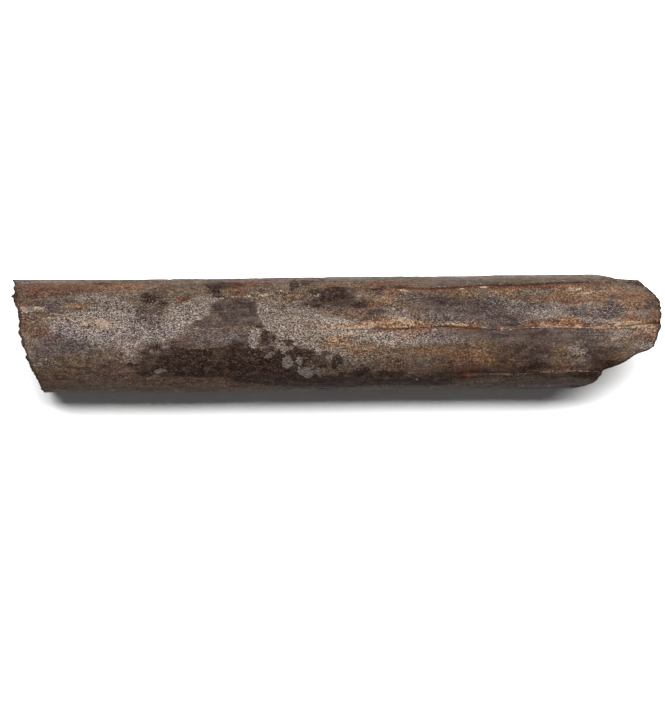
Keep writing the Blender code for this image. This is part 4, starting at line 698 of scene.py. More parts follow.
        (613, 324.6, 3, 0.7, 0.5), (626, 322, 2.4, 1.0, 0.6), (631.6, 322.4, 2.4, 1.4, 0.95), (638.6, 323.4, 2.6, 1.2, 0.95), (634, 326, 3, 0.9, 0.6), (636, 328, 4, 0.6, 0.4), (647, 322.6, 6, 0.5, 0.95),
        (654, 322.4, 3, 0.5, 0.7), (643, 329, 5, 0.6, 0.3), (655.4, 331.6, 2.4, 1.2, 0.8), (653, 334.4, 2, 1.0, 0.6), (579, 312.2, 1.6, 0.9, 1.0), (588, 311.4, 2.4, 0.8, 0.6), (594, 322.4, 2.4, 0.9, 0.6),
        (602, 298.4, 2.0, 0.8, 0.8), (604, 301, 1.6, 0.9, 0.7), (579.4, 287.6, 2.4, 1.6, 0.9), (571, 291, 2, 0.9, 0.5), (586, 289.4, 5, 0.6, 0.5), (590, 292.6, 4, 0.7, 0.4), (583, 295, 3, 0.8, 0.3), (563.4, 280.6, 0.9, 0.8, 0.9), (554, 281, 4, 0.5, 0.5),
        (560, 297, 3, 0.8, 0.4), (553, 298, 3, 0.8, 0.5), (547, 303.6, 3, 0.8, 0.4), (624, 291.8, 6, 0.6, 0.4), (634, 301, 6, 0.8, 0.4), (630, 303, 4, 0.6, 0.4),
        (580, 357.6, 2.6, 0.9, 0.8), (578, 353.4, 3, 0.8, 0.5), (584, 352.6, 2.4, 0.8, 0.5), (588, 355, 2, 0.8, 0.4), (603, 343, 4, 1.0, 0.5), (643, 345.4, 2.6, 0.8, 0.4),
        (506, 373.5, 9, 0.5, 0.58), (498, 373.4, 5, 0.4, 0.43), (465, 373.4, 8, 0.4, 0.43), (523, 373.6, 5, 0.5, 0.43), (532, 371.6, 6, 0.5, 0.43), (486, 373.6, 4, 0.4, 0.22), (553, 370.6, 6, 0.6, 0.43),
        (566, 369.8, 5, 0.6, 0.65), (573, 371, 4, 0.5, 0.43), (585, 371.4, 3, 0.6, 0.36), (590, 371.6, 6, 0.5, 0.43), (597, 371.4, 2, 0.5, 0.5), (416.5, 378.8, 1.2, 1.0, 1.0), (416, 356.6, 2.4, 0.7, 0.5),
        (421, 359, 2, 0.8, 0.4), (376, 389.2, 12, 0.3, 0.3), (110, 286, 6, 0.5, 0.4), (88, 289.6, 5, 0.5, 0.4), (138, 285.4, 5, 0.5, 0.4), (158, 293, 3, 0.6, 0.4), (150, 291.4, 2, 0.6, 0.4),
        (118, 301.6, 1.6, 0.8, 0.4), (156, 301.4, 1.6, 0.8, 0.5), (42, 368.6, 3, 0.6, 0.4), (56, 356.6, 2, 0.6, 0.4), (44, 358, 2, 0.6, 0.3), (24, 337, 1.6, 1.6, 0.4), (26, 353, 1.4, 1.6, 0.3),
        (106, 326, 3, 1.0, 0.7), (90, 320, 3, 0.9, 0.6), (84, 324, 2, 0.9, 0.5), (112, 328, 3, 1.0, 0.6), (316, 325, 4, 0.9, 0.6), (332, 330, 4, 0.8, 0.5),
        (352, 333, 5, 0.9, 0.5), (374, 335, 5, 0.8, 0.5), (394, 333, 5, 0.8, 0.5), (300, 328, 4, 0.8, 0.6), (652, 326.6, 4, 0.8, 0.7),
        (78, 320, 4, 0.8, 0.6), (72, 314, 3, 0.9, 0.5), (88, 314, 3, 0.8, 0.5), (96, 330, 3, 1.0, 0.6), (78, 328, 3, 0.9, 0.5), (116, 325, 3, 0.9, 0.5),
        (632, 325, 5, 1.2, 0.6), (645, 329.6, 5, 0.8, 0.5), (596, 324.4, 5, 0.7, 0.5), (360, 331, 4, 0.8, 0.5), (340, 326, 5, 0.8, 0.6), (380, 331, 4, 0.8, 0.4),
        (132, 288, 5, 0.7, 0.5), (122, 290, 4, 0.7, 0.4), (142, 284, 4, 0.6, 0.4),
        (362, 334, 26, 3, 0.38), (392, 334, 20, 2, 0.34), (340, 330, 20, 4, 0.36), (316, 331, 16, 4, 0.34), (100, 324, 26, 5, 0.36), (640, 325, 14, 3, 0.36),
        (542, 385.8, 40, 0.5, 0.6), (560, 327.6, 40, 0.5, 0.5),
        (570, 289.6, 9, 1.6, 0.45), (586, 291.6, 10, 1.4, 0.42), (300, 331, 24, 1.2, 0.3),
        (640, 323, 16, 2.6, 0.42), (408, 322, 22, 2.2, 0.42),
        (54, 313.6, 9, 1.3, 0.6), (58, 317.6, 8, 0.9, 0.5), (74, 324, 14, 1.0, 0.4), (96, 328, 16, 1.2, 0.4), (90, 319.6, 12, 1.2, 0.5), (112, 322, 12, 1.2, 0.4), (44, 307.6, 8, 1.0, 0.5), (84, 331.6, 12, 0.9, 0.36),
        (124, 333, 16, 1.0, 0.34), (190, 308, 14, 1.6, 0.34), (185, 320, 12, 1.6, 0.36), (150, 326, 12, 1.0, 0.34), (102, 311, 12, 1.0, 0.34), (356, 327, 16, 1.2, 0.4), (318, 323, 20, 1.2, 0.34),
        (645, 325, 14, 2.4, 0.45), (632, 327, 14, 1.8, 0.4),
        (573, 288.6, 6, 1.6, 0.5), (584, 293, 8, 1.4, 0.45), (574, 295, 6, 1.2, 0.4), (596, 291, 6, 1.0, 0.35), (608, 291, 8, 0.9, 0.35), (630, 301, 10, 0.9, 0.34),
        (90, 287.8, 7, 0.8, 0.4), (104, 286.4, 5, 0.7, 0.35), (406, 291, 6, 0.8, 0.6),
        (563.4, 280.8, 1.2, 0.8, 0.9), (396, 285.4, 6, 0.7, 0.4),
    ),
}

# How sandy the surface is, 0 smooth to 1, over the side that shows.
SANDY = (
    (98, 322, 44, 13, 1.0), (110, 308, 30, 10, 0.8), (95, 338, 38, 8, 0.7), (150, 328, 34, 14, 0.95), (188, 314, 22, 12, 0.85),
    (140, 306, 20, 10, 0.5), (62, 314, 30, 6, 0.6), (300, 330, 40, 12, 1.0), (340, 336, 34, 13, 1.0), (318, 344, 24, 10, 0.9),
    (384, 336, 44, 8, 0.95), (352, 354, 34, 10, 0.75), (372, 348, 30, 8, 0.7), (276, 342, 26, 12, 0.8), (300, 362, 26, 10, 0.6),
    (404, 324, 44, 6, 1.0), (380, 300, 26, 10, 0.6), (320, 300, 26, 10, 0.5), (486, 308, 32, 10, 0.7), (440, 318, 30, 8, 0.5),
    (528, 304, 28, 10, 0.7), (580, 294, 26, 9, 0.75), (560, 322, 30, 5, 0.9), (604, 312, 30, 8, 0.6), (628, 324, 24, 5, 1.0),
    (582, 355, 14, 7, 0.7), (458, 338, 20, 7, 0.5), (466, 325, 20, 4, 0.8), (640, 335, 18, 6, 0.5), (236, 294, 24, 6, 0.5),
    (268, 296, 20, 7, 0.5), (215, 338, 22, 7, 0.35), (130, 356, 12, 6, 0.6), (120, 287, 24, 5, 0.5), (400, 362, 24, 6, 0.4),
    (50, 364, 12, 6, 0.6), (508, 290, 40, 6, 0.6), (430, 336, 20, 5, 0.7), (272, 310, 22, 9, 0.75), (92, 298, 18, 5, 0.5), (645, 345, 10, 5, 0.4), (254, 340, 8, 8, 0.6),
)


def patches(marks, x, girth):
    """How strongly a place is covered by a list of patches."""
    left = np.ones(len(x))
    for u, v, along, tall, strength, *lean in marks:
        at, angle = picture(u, v)
        # A patch near the edge of the picture's outline is seen at a slant, so it is taller on
        # the bone than in the picture.
        slant = max(0.34, abs(math.sin(float(angle))))
        long, round_ = along * PIXEL, tall * PIXEL / slant
        off = ((x - at) / long) ** 2
        near = off < 9
        climb = lean[0] / slant if lean else 0.0
        aside = (girth[near] - girth_at(float(angle)) - climb * (x[near] - at)) / round_
        left[near] *= 1 - strength * np.exp(-0.8 * (off[near] + aside**2) ** 1.25)
    return 1 - left


def scattered(seed, count, long, tall, strength, x, girth):
    """Patches over the sides and the underside that the picture doesn't show."""
    luck = np.random.default_rng(seed)
    left = np.ones(len(x))
    for _ in range(count):
        at = luck.uniform(-74, 62)
        where = luck.choice((-1, 1)) * luck.uniform(18.5, GIRTH / 2 + 4)
        long_, round_ = luck.uniform(*long), luck.uniform(*tall)
        power = luck.uniform(*strength)
        away = np.abs(girth - where)
        away = np.minimum(away, GIRTH - away)
        off = ((x - at) / long_) ** 2 + (away / round_) ** 2
        left *= 1 - power * np.exp(-0.8 * off**1.25)
    return 1 - left


# Patches scattered over the hidden sides: seed, how many, half-length, half-height, strength.
HIDDEN = {
    "pale": (3, 26, (6, 22), (2.0, 5.0), (0.4, 0.9)),
    "brown": (4, 24, (6, 22), (2.0, 5.0), (0.4, 0.9)),
    "umber": (5, 22, (4, 16), (1.5, 4.0), (0.4, 0.9)),
    "stain": (6, 3, (4, 9), (1.5, 3.0), (0.8, 0.9)),
    "bloom": (14, 12, (5, 14), (2.0, 4.0), (0.4, 0.8)),
    "slate": (7, 20, (5, 16), (1.5, 4.0), (0.4, 0.9)),
    "wall_and_sheen": (9, 12, (8, 26), (1.5, 4.0), (0.5, 0.9)),
    "olive": (11, 22, (5, 18), (1.5, 4.0), (0.4, 0.8)),
    "rust": (13, 34, (3, 16), (0.4, 2.2), (0.5, 0.95)),
    "ochre": (15, 28, (2, 8), (0.3, 1.4), (0.5, 0.9)),
    "dark": (17, 34, (2, 14), (0.6, 3.6), (0.5, 1.0)),
    "spot": (19, 20, (0.8, 1.6), (0.6, 1.1), (0.5, 0.9)),
    "cream": (21, 60, (0.4, 3), (0.1, 0.35), (0.5, 0.95)),
}

# ---------------------------------------------------------------- relief


def along_picture(points, x):
    """A table by u in the picture, read at x in millimetres."""
    u, value = np.array(points, float).T
    return np.interp(x, (u - 336.5) * PIXEL, value)


# How deep each long crack is, how much higher its +Y side stands, and how dark its line is.
DEEP = {
    "upper": ((280, 0), (330, 0.10), (365, 0.22), (400, 0.26), (560, 0.26), (590, 0.18), (606, 0.05), (618, 0)),
    "middle": ((150, 0), (190, 0.04), (262, 0.06), (345, 0.08), (375, 0.16), (403, 0.2), (430, 0.2), (480, 0.12),
               (522, 0.09), (566, 0.08), (600, 0.12), (640, 0.36), (662, 0.5)),
    "lower": ((420, 0), (455, 0.06), (500, 0.12), (560, 0.12), (600, 0.12)),
    "behind": ((12, 0.35), (120, 0.3), (200, 0.12), (260, 0.24), (420, 0.3), (520, 0.12), (600, 0.3)),
    "under": ((12, 0.1), (120, 0.24), (260, 0.3), (330, 0.1), (430, 0.24), (600, 0.4)),
}
STEP = {
    "upper": ((300, 0), (345, 0.06), (450, 0.14), (560, 0.2), (612, 0.16)),
    "middle": ((340, 0), (400, 0.05), (480, 0.05), (560, 0.07), (620, 0.08), (660, 0.04)),
    "lower": ((430, 0), (470, -0.10), (600, -0.16)),
    "behind": ((12, 0.15), (200, 0.0), (420, -0.18), (600, -0.1)),
    "under": ((12, 0.0), (200, 0.15), (400, 0.1), (600, -0.15)),
}
DARK_LINE = {
    "upper": ((322, 0), (345, 0.4), (365, 0.75), (400, 0.9), (590, 0.9), (604, 0)),
    "middle": ((240, 0), (262, 0.12), (355, 0.15), (376, 0.6), (480, 0.6), (495, 0.3), (512, 0.25), (530, 0.3), (560, 0.2), (600, 0.1),
               (628, 0.4), (640, 0.9), (662, 1)),
    "lower": ((430, 0), (470, 0.1), (600, 0.15)),
    "behind": ((12, 0.9), (150, 0.7), (200, 0.2), (260, 0.8), (420, 0.9), (520, 0.3), (600, 0.9)),
    "under": ((12, 0.2), (120, 0.8), (260, 0.9), (330, 0.2), (430, 0.8), (600, 0.9)),
}


def round_over(worn, away):
    """A square corner worn round: how far a point that was `away` from the corner, measured on
    its own face, sinks into that face, and how far from the corner's other face it now lies."""
    turn = math.pi / 4 * (1 - np.clip(away / worn, 0, 1))
    return worn * (1 - np.cos(turn)), np.where(away < worn, worn * (1 - np.sin(turn)), away)


def outward(points, quads):
    """The direction straight out of the surface at each point."""
    a, b, c, d = (points[quads[:, i]] for i in range(4))
    facing = np.cross(c - a, d - b)
    total = np.zeros_like(points)
    for i in range(4):
        np.add.at(total, quads[:, i], facing)
    return total / np.maximum(np.linalg.norm(total, axis=1, keepdims=True), 1e-12)


def bone_skin():
    """Points and quads of the skin, and the values at each point that the material reads."""
    t, radius, nominal, quads = grid()
    # Rings and rows stand closer together next to the two broken edges.
    even = 2 * t - 1
    t = 0.5 + 0.5 * even * (1 + 0.07 * (1 - even**8))
    radius = radius * (1 + 0.28 * (1 - radius**2))
    points, angle, across, up, from_start, to_end = place(t, radius, nominal)
    points[:, 2] = np.maximum(points[:, 2], 0)
    x, girth = points[:, 0].copy(), girth_at(angle)
    side = radius > 1 - 1e-9

    # The markings' outlines wander.
    wander = points / np.array([6.0, 3.2, 3.2])
    fine = points / np.array([2.2, 1.2, 1.2])
    x_off = x + 0.9 * rough_noise(wander, 101, 3) + 0.35 * smooth_noise(fine, 111)
    g_off = girth + 0.45 * rough_noise(wander, 121, 3) + 0.22 * smooth_noise(fine, 131)
    shown = ramp(21.5, 17.5, np.abs(girth))  # fades out where the picture stops
    kinds = {}
    for kind, marks in MARKS.items():
        # Small marks stay where they are.
        small = [mark for mark in marks if kind in ("cream", "spot") or mark[2] <= 7]
        large = [mark for mark in marks if mark not in small]
        held = patches(small, x + 0.3 * (x_off - x), girth + 0.3 * (g_off - girth))
        seen = 1 - (1 - patches(large, x_off, g_off)) * (1 - held)
        unseen = scattered(*HIDDEN[kind], x_off, g_off)
        kinds[kind] = seen + (1 - shown) * unseen * (1 - seen)
    sandy = patches(SANDY, x_off, g_off)
    sandy_behind = ramp(-0.25, 0.35, rough_noise(points / np.array([16.0, 7, 7]), 151, 3)) * 0.85
    kinds["sandy"] = sandy * shown + sandy_behind * (1 - shown)

    # Relief, in millimetres along the surface's outward direction.
    stretched = points / np.array([9.0, 2.6, 2.6])
    sand = kinds["sandy"]
    coat = np.clip(kinds["dark"] * 1.2, 0, 1)
    relief = 0.03 + 0.16 * rough_noise(points / 22.0, 201, 3)
    relief += 0.05 * rough_noise(stretched, 211, 4, 0.55)
    relief += 0.018 * smooth_noise(points / np.array([3.5, 0.6, 0.6]), 221) * (1.2 - sand)
    relief += (0.012 + 0.028 * sand) * rough_noise(points / 0.95, 231, 2, 0.7)
    # Flakes: shallow scars with a crisp edge.
    flake = rough_noise(points / np.array([8.0, 3.4, 3.4]), 241, 4, 0.55)
    scar = ramp(0.24, 0.30, flake)
    relief -= 0.11 * scar
    relief -= 0.10 * ramp(0.45, 0.7, kinds["spot"])
    relief += 0.05 * ramp(0.3, 0.7, coat)
    # Crust along the cracks.
    crust = np.clip(kinds["cream"] + 0.6 * kinds["ochre"] * ramp(6, 2, np.abs(girth + 1)), 0, 1)
    relief += crust * (0.05 + 0.07 * rough_noise(points / 0.8, 251, 2, 0.7))
    # Pits, in a few rough zones.
    pit_gap, pit_number = cells(points / np.array([1.9, 1.3, 1.3]), 261)
    pitted = np.clip(0.05 + 0.22 * kinds["slate"] * sand + 0.08 * sand, 0, 0.3)
    pit = np.where(pit_number < pitted, np.exp(-((pit_gap / 0.27) ** 2)), 0)
    relief -= 0.16 * pit

    # The long cracks.
    jitter = 0.10 * smooth_noise(points / np.array([1.6, 1.1, 1.1]), 271) + 0.05 * smooth_noise(points / 0.5, 281)
    crack = np.zeros(len(x))
    for name, route in CRACKS.items():
        off = girth - girth_at(route(x)) + jitter
        deep = along_picture(DEEP[name], x)
        relief -= deep * np.exp(-((off / (0.16 + 0.25 * deep)) ** 2))
        relief += 0.5 * along_picture(STEP[name], x) * np.tanh(off / 0.12) * np.exp(-np.abs(off) / 4.5)
        line = along_picture(DARK_LINE[name], x) * (0.75 + 0.5 * smooth_noise(points / np.array([3.0, 2, 2]), 291))
        crack = np.maximum(crack, line * np.exp(-((off / (0.13 + 0.16 * deep)) ** 2)))
    # Painted shadow: a dark line low on the -Y side, next to the tongue's shoulder, where the bone's lower edge meets
    # its shadow. It joins the crack mask.
    shadow_line = girth - girth_at(math.radians(175)) + 2 * jitter
    crack = np.maximum(crack, 0.9 * ramp(32, 42, x) * ramp(58, 50, x) * np.exp(-((shadow_line / 1.0) ** 2)))
    kinds["crack"] = np.clip(crack, 0, 1)
    kinds["scar"] = scar

    # Broken ends: the wall stands a little proud of the stone inside, and both edges are worn.
    cap = ~side
    from_rim = (1 - radius) * 11.5
    wall = ramp(1.9, 1.3, from_rim + 0.35 * rough_noise(points / 2.2, 301, 3)) * cap
    worn = 0.20 + 0.18 * rough_noise(points / 3.0, 311, 3) + 0.2 * ramp(0.3, 0.7, smooth_noise(points / 2.0, 321))
    worn = np.clip(worn, 0.10, 0.5)
    normals = outward(points, quads)
    end_gap = np.minimum(from_start, to_end)
    sink_side, new_gap = round_over(worn, np.where(side, end_gap, 9.0))
    sink_cap, new_rim = round_over(worn, np.where(cap, from_rim, 9.0))
    toward = np.where(from_start < to_end, 1.0, -1.0)
    section_out = np.stack([np.zeros(len(x)), points[:, 1] - middle_and_half(x)[0], points[:, 2] - EQUATOR], axis=1)
    section_out /= np.maximum(np.linalg.norm(section_out, axis=1, keepdims=True), 1e-9)

    moved = points.copy()
    fade = ramp(0.0, 0.8, end_gap)  # full relief away from the edges, on the side
    moved += normals * np.where(side, relief * (0.35 + 0.65 * fade), 0)[:, None]
    moved -= section_out * np.where(side & (end_gap < worn), sink_side, 0)[:, None]
    moved[:, 0] += np.where(side & (end_gap < worn), (new_gap - end_gap) * toward, 0)
    # On the caps: inwards along the bone, and the rim's rows towards the middle.
    proud = 0.22 * wall - 0.12 + 0.06 * rough_noise(points / 0.9, 331, 2, 0.7)
    at_cap = cap & (from_rim < worn)
    moved[:, 0] += np.where(cap, toward * (np.where(at_cap, sink_cap, 0) - proud * ramp(0.0, 0.7, from_rim)), 0)
    moved -= section_out * np.where(at_cap, new_rim - from_rim, 0)[:, None]
    moved[:, 2] = np.maximum(moved[:, 2], 0)
    # The flat that the bone rests on is worn, not polished: only its high spots touch.
    resting = side & (points[:, 2] < 1e-6)
    lift = np.clip(0.10 + 0.10 * rough_noise(points / 3.0, 341, 4, 0.6) - relief, 0, 0.35)
    moved[resting, 2] = lift[resting] * ramp(0, 0.9, 5.4 - np.abs(points[resting, 1]))

    kinds["broken"] = np.where(cap, ramp(0.0, 0.35, from_rim), 0) + np.where(side, ramp(0.35, 0.0, end_gap) * 0.45, 0)
    kinds["wall"] = wall
    # Painted shade: dim darkens the upper side towards its top edge, where the light falls off over the curve.
    kinds["dim"] = ramp(1.0, 8.0, girth) * ramp(17.0, 11.0, girth)
    # Painted shade: low darkens the lower flank, below the brightest band.
    kinds["low"] = ramp(-1.5, -4.6, girth) * ramp(-10.4, -8.2, girth)
    # Painted shade: edge darkens the rims of the breaks, where the surface rounds over.
    kinds["edge"] = np.where(side, ramp(1.1, 0.1, end_gap), ramp(0.8, 0.0, from_rim))
    return moved, quads, kinds


def make_piece(name):
    points, quads, kinds = bone_skin()
    mesh = bpy.data.meshes.new(name)
    mesh.from_pydata((points * MM).tolist(), [], quads.tolist())
    mesh.shade_smooth()
    for kind, values in kinds.items():
        layer = mesh.attributes.new("m_" + kind, "FLOAT", "POINT")
        layer.data.foreach_set("value", np.clip(values, 0, 1).astype(np.float32))
    mesh.update()
    piece = bpy.data.objects.new(name, mesh)
    bpy.context.scene.collection.objects.link(piece)
    return piece


# ---------------------------------------------------------------- material


class Wiring:
    """Short names for the shader nodes that the material is made of."""

    def __init__(self, tree):
        self.tree = tree

    def node(self, kind, **settings):
        made = self.tree.nodes.new(kind)
        for key, value in settings.items():
            setattr(made, key, value)
        return made

    def join(self, value, socket):
        if isinstance(value, bpy.types.NodeSocket):
            self.tree.links.new(value, socket)
        else:
            socket.default_value = value

    def math(self, operation, *values, clamp=False):
        made = self.node("ShaderNodeMath", operation=operation, use_clamp=clamp)
        for value, socket in zip(values, made.inputs):
            self.join(value, socket)
        return made.outputs[0]

    def add(self, *values):
        total = values[0]
        for value in values[1:]:
            total = self.math("ADD", total, value)
        return total

    def times(self, *values):
        total = values[0]
        for value in values[1:]:
            total = self.math("MULTIPLY", total, value)
        return total

    def scaled(self, value, low, high):
        """value from 0..1 stretched to low..high."""
        return self.math("MULTIPLY_ADD", value, high - low, low)

    def band(self, value, low, high):
        """0 below low, 1 above high, smooth between."""
        made = self.node("ShaderNodeMapRange", interpolation_type="SMOOTHSTEP")
        self.join(value, made.inputs["Value"])
        made.inputs["From Min"].default_value = low
        made.inputs["From Max"].default_value = high
        return made.outputs["Result"]

    def mix(self, share, first, second, blend="MIX"):
        made = self.node("ShaderNodeMix", data_type="RGBA", blend_type=blend, clamp_factor=True)
        self.join(share, made.inputs["Factor"])
        for value, socket in ((first, made.inputs["A"]), (second, made.inputs["B"])):
            socket = [s for s in made.inputs if s.name == socket.name and s.type == "RGBA"][0]
            self.join(value, socket)
        return [s for s in made.outputs if s.type == "RGBA"][0]

    def shade(self, colour, factor):
        """A colour made lighter or darker."""
        made = self.node("ShaderNodeVectorMath", operation="SCALE")
        self.join(colour, made.inputs[0])
        self.join(factor, made.inputs["Scale"])
        return made.outputs[0]

    def read(self, name):
        return self.node("ShaderNodeAttribute", attribute_name=name).outputs["Fac"]

    def stretch(self, vector, factors):
        made = self.node("ShaderNodeVectorMath", operation="MULTIPLY")
        self.join(vector, made.inputs[0])
        made.inputs[1].default_value = factors
        return made.outputs[0]

    def noise(self, vector, scale, detail=2.0, roughness=0.5, distortion=0.0):
        made = self.node("ShaderNodeTexNoise", noise_dimensions="3D")
        self.join(vector, made.inputs["Vector"])
        made.inputs["Scale"].default_value = scale
        made.inputs["Detail"].default_value = detail
        made.inputs["Roughness"].default_value = roughness
        made.inputs["Distortion"].default_value = distortion
        return made.outputs["Fac"]

    def voronoi(self, vector, scale, output="Distance", feature="F1"):
        made = self.node("ShaderNodeTexVoronoi", feature=feature)
        self.join(vector, made.inputs["Vector"])
        made.inputs["Scale"].default_value = scale
        return made.outputs[output]


LIT = 3.45  # how much light falls on the bone's upper side, next to what turns white paint white
GLOSS = 0.0018  # what the surface's faint gloss adds to every colour
WARM = (1.03, 0.985, 0.955)  # what undoes the grey of the light that the floor throws back


def tint(red, green, blue, gain=1.0):
    """The surface colour that shows as this screen colour under the studio light."""
    linear = [((c / 255 + 0.055) / 1.055) ** 2.4 if c > 10 else c / 255 / 12.92 for c in (red, green, blue)]
    return (*[min(0.95, max(0.0008, c * warm / LIT * gain - GLOSS)) for c, warm in zip(linear, WARM)], 1.0)


def bone_material():
    material = bpy.data.materials.new("fossil_bone_surface")
    material.use_nodes = True
    tree = material.node_tree
    tree.nodes.clear()
    w = Wiring(tree)
    shader = w.node("ShaderNodeBsdfPrincipled")
    out = w.node("ShaderNodeOutputMaterial")
    tree.links.new(shader.outputs["BSDF"], out.inputs["Surface"])

    place_ = w.node("ShaderNodeTexCoord").outputs["Object"]
    mm = w.stretch(place_, (1000.0, 1000.0, 1000.0))
    long = w.stretch(place_, (130.0, 1000.0, 1000.0))
    longest = w.stretch(place_, (45.0, 1000.0, 1000.0))

    blotch = w.noise(mm, 0.17, 5.0, 0.62, 0.4)
    mottle = w.noise(w.stretch(place_, (560.0, 820.0, 820.0)), 1.0, 3.0, 0.5)
    edge = w.noise(mm, 0.85, 4.0, 0.65)
    fuzz = w.noise(mm, 2.4, 2.0, 0.6)
    cloud = w.noise(w.stretch(place_, (240.0, 380.0, 380.0)), 1.0, 4.0, 0.6)
    dapple = w.noise(w.stretch(place_, (640.0, 1050.0, 1050.0)), 1.0, 2.0, 0.5)
    grain = w.node("ShaderNodeSeparateColor")
    w.join(w.voronoi(w.stretch(place_, (740.0, 1250.0, 1250.0)), 6.2, "Color"), grain.inputs[0])
    grain = grain.outputs["Red"]
    streak = w.noise(long, 0.95, 4.0, 0.65)
    thread = w.noise(longest, 1.7, 3.0, 0.6)
    sharp = w.stretch(place_, (720.0, 1250.0, 1250.0))
    grit = w.add(w.times(w.noise(sharp, 2.8, 1.0, 0.6), 0.2), w.times(w.noise(sharp, 5.6, 1.0, 0.6), 0.8))
    ragged = w.add(w.times(edge, 0.45), w.times(fuzz, 0.35), w.times(streak, 0.2))

    def cover(kind, low=0.30, high=0.62, wild=1.6, more=0.0):
        """A marking's cover: its soft patch, broken up by noise at the edge."""
        value = w.add(w.read("m_" + kind), more)
        return w.band(w.math("MULTIPLY_ADD", w.math("SUBTRACT", ragged, 0.5), wild, value), low, high)

    def grainy(cover, share=0.5):
        """A cover that thins out grain by grain."""
        return w.math("ADD", cover, w.times(w.math("SUBTRACT", grain, 0.5), cover, w.math("SUBTRACT", 1.0, cover), share * 4), clamp=True)

    sandy = w.read("m_sandy")
    dark_cover = grainy(cover("dark", 0.38, 0.60, 1.9, w.times(w.math("SUBTRACT", mottle, 0.5), 0.9)), 0.8)
    umber_cover = w.math("MAXIMUM", w.times(cover("umber", 0.24, 0.84, 1.5), 0.85), cover("stain", 0.40, 0.60, 1.3))
    wall_and_sheen_cover = cover("wall_and_sheen", 0.28, 0.66, 0.8)

    colour = w.mix(w.band(blotch, 0.35, 0.68), tint(102, 84, 71), tint(132, 114, 101))
    colour = w.mix(w.times(w.band(streak, 0.45, 0.75), 0.45), colour, tint(142, 124, 110))
    colour = w.mix(w.times(cover("pale", 0.22, 0.85), 0.85), colour, tint(167, 155, 146))
    colour = w.mix(w.times(cover("brown", 0.22, 0.80), 0.9), colour, w.mix(w.band(edge, 0.36, 0.66), tint(98, 69, 53), tint(136, 107, 90)))
    colour = w.mix(w.times(cover("olive", 0.25, 0.85), 0.75), colour, w.mix(w.band(edge, 0.36, 0.66), tint(112, 88, 62), tint(144, 121, 96)))
    colour = w.mix(w.times(cover("slate", 0.25, 0.75), 0.85), colour, w.mix(w.band(edge, 0.36, 0.66), tint(82, 71, 72), tint(118, 106, 106)))
    # Grey wall, partly painted sheen along the top and bottom edges.
    colour = w.mix(w.times(wall_and_sheen_cover, 0.85), colour, tint(126, 112, 101))
    colour = w.mix(w.times(cover("bloom", 0.25, 0.85), 0.5), colour, w.mix(w.band(fuzz, 0.36, 0.64), tint(94, 87, 93), tint(156, 148, 155)))
    # Clouds of warmer and cooler bone.
    colour = w.mix(w.times(w.band(cloud, 0.52, 0.70), 0.42), colour, tint(126, 88, 64))
    colour = w.mix(w.times(w.band(cloud, 0.48, 0.30), 0.35), colour, tint(104, 92, 92))
    colour = w.mix(w.times(umber_cover, 0.88), colour, w.mix(w.band(edge, 0.36, 0.66), tint(78, 64, 61), tint(105, 90, 88)))
    rust_cover = grainy(cover("rust", 0.24, 0.84), 0.25)
    rust = w.mix(w.band(fuzz, 0.38, 0.66), tint(94, 54, 40), tint(164, 108, 82))
    colour = w.mix(w.times(rust_cover, 0.8), colour, rust)
    ochre_cover = grainy(cover("ochre", 0.26, 0.84), 0.25)
    ochre = w.mix(w.band(fuzz, 0.36, 0.64), tint(130, 88, 58), tint(190, 150, 116))
    colour = w.mix(w.times(ochre_cover, 0.78), colour, ochre)
    dark = w.mix(w.band(edge, 0.4, 0.7), tint(50, 32, 28), tint(78, 54, 48))
    colour = w.mix(w.times(dark_cover, 0.95), colour, dark)
    colour = w.mix(w.times(grainy(cover("spot", 0.32, 0.60, 0.9), 0.8), 0.86), colour, tint(150, 138, 134))
    colour = w.mix(w.times(w.band(mottle, 0.50, 0.32), 0.30), colour, w.mix(0.5, colour, tint(30, 24, 21)))
    colour = w.mix(w.times(w.band(mottle, 0.50, 0.68), 0.24), colour, w.mix(0.5, colour, tint(176, 164, 150)))

    # Smaller dapples of lighter and darker colour. Then painted shade: the upper side darkened towards its top edge
    # (m_dim) and the lower flank darkened (m_low), where the light falls off over the curve.
    colour = w.shade(colour, w.math("MULTIPLY_ADD", w.math("SUBTRACT", w.band(dapple, 0.28, 0.72), 0.5), w.scaled(dark_cover, 0.46, 0.34), 1.0))
    colour = w.shade(colour, w.scaled(w.read("m_dim"), 1.0, 0.67))
    # Painted shade on the lower flank.
    colour = w.shade(colour, w.scaled(w.read("m_low"), 1.0, 0.88))

    # Sand grains: light ones and dark gaps, strongest where the surface is sandy. The gaps sit on the low points of the
    # grit that the bump also uses and the light grains on its high points, so they are partly painted shade and
    # highlight; the brightest specks are partly painted sparkle.
    strong = w.times(w.scaled(sandy, 0.54, 1.0), w.scaled(dark_cover, 1.0, 0.75), w.scaled(wall_and_sheen_cover, 1.0, 0.35), w.scaled(umber_cover, 1.0, 0.5), w.scaled(rust_cover, 1.0, 0.7), w.scaled(ochre_cover, 1.0, 0.8))
    colour = w.mix(w.times(w.band(grit, 0.50, 0.38), strong, 0.32), colour, w.mix(0.80, colour, tint(24, 17, 14)))
    colour = w.mix(w.times(w.band(grit, 0.53, 0.64), strong, 0.28), colour, w.mix(0.60, colour, tint(226, 214, 200)))
    colour = w.shade(colour, w.math("MULTIPLY_ADD", w.math("SUBTRACT", w.times(grain, grain), 0.295), w.times(strong, 3.1), 1.0))
    colour = w.mix(w.times(w.band(grain, 0.92, 0.97), strong, 0.45), colour, tint(236, 226, 212))
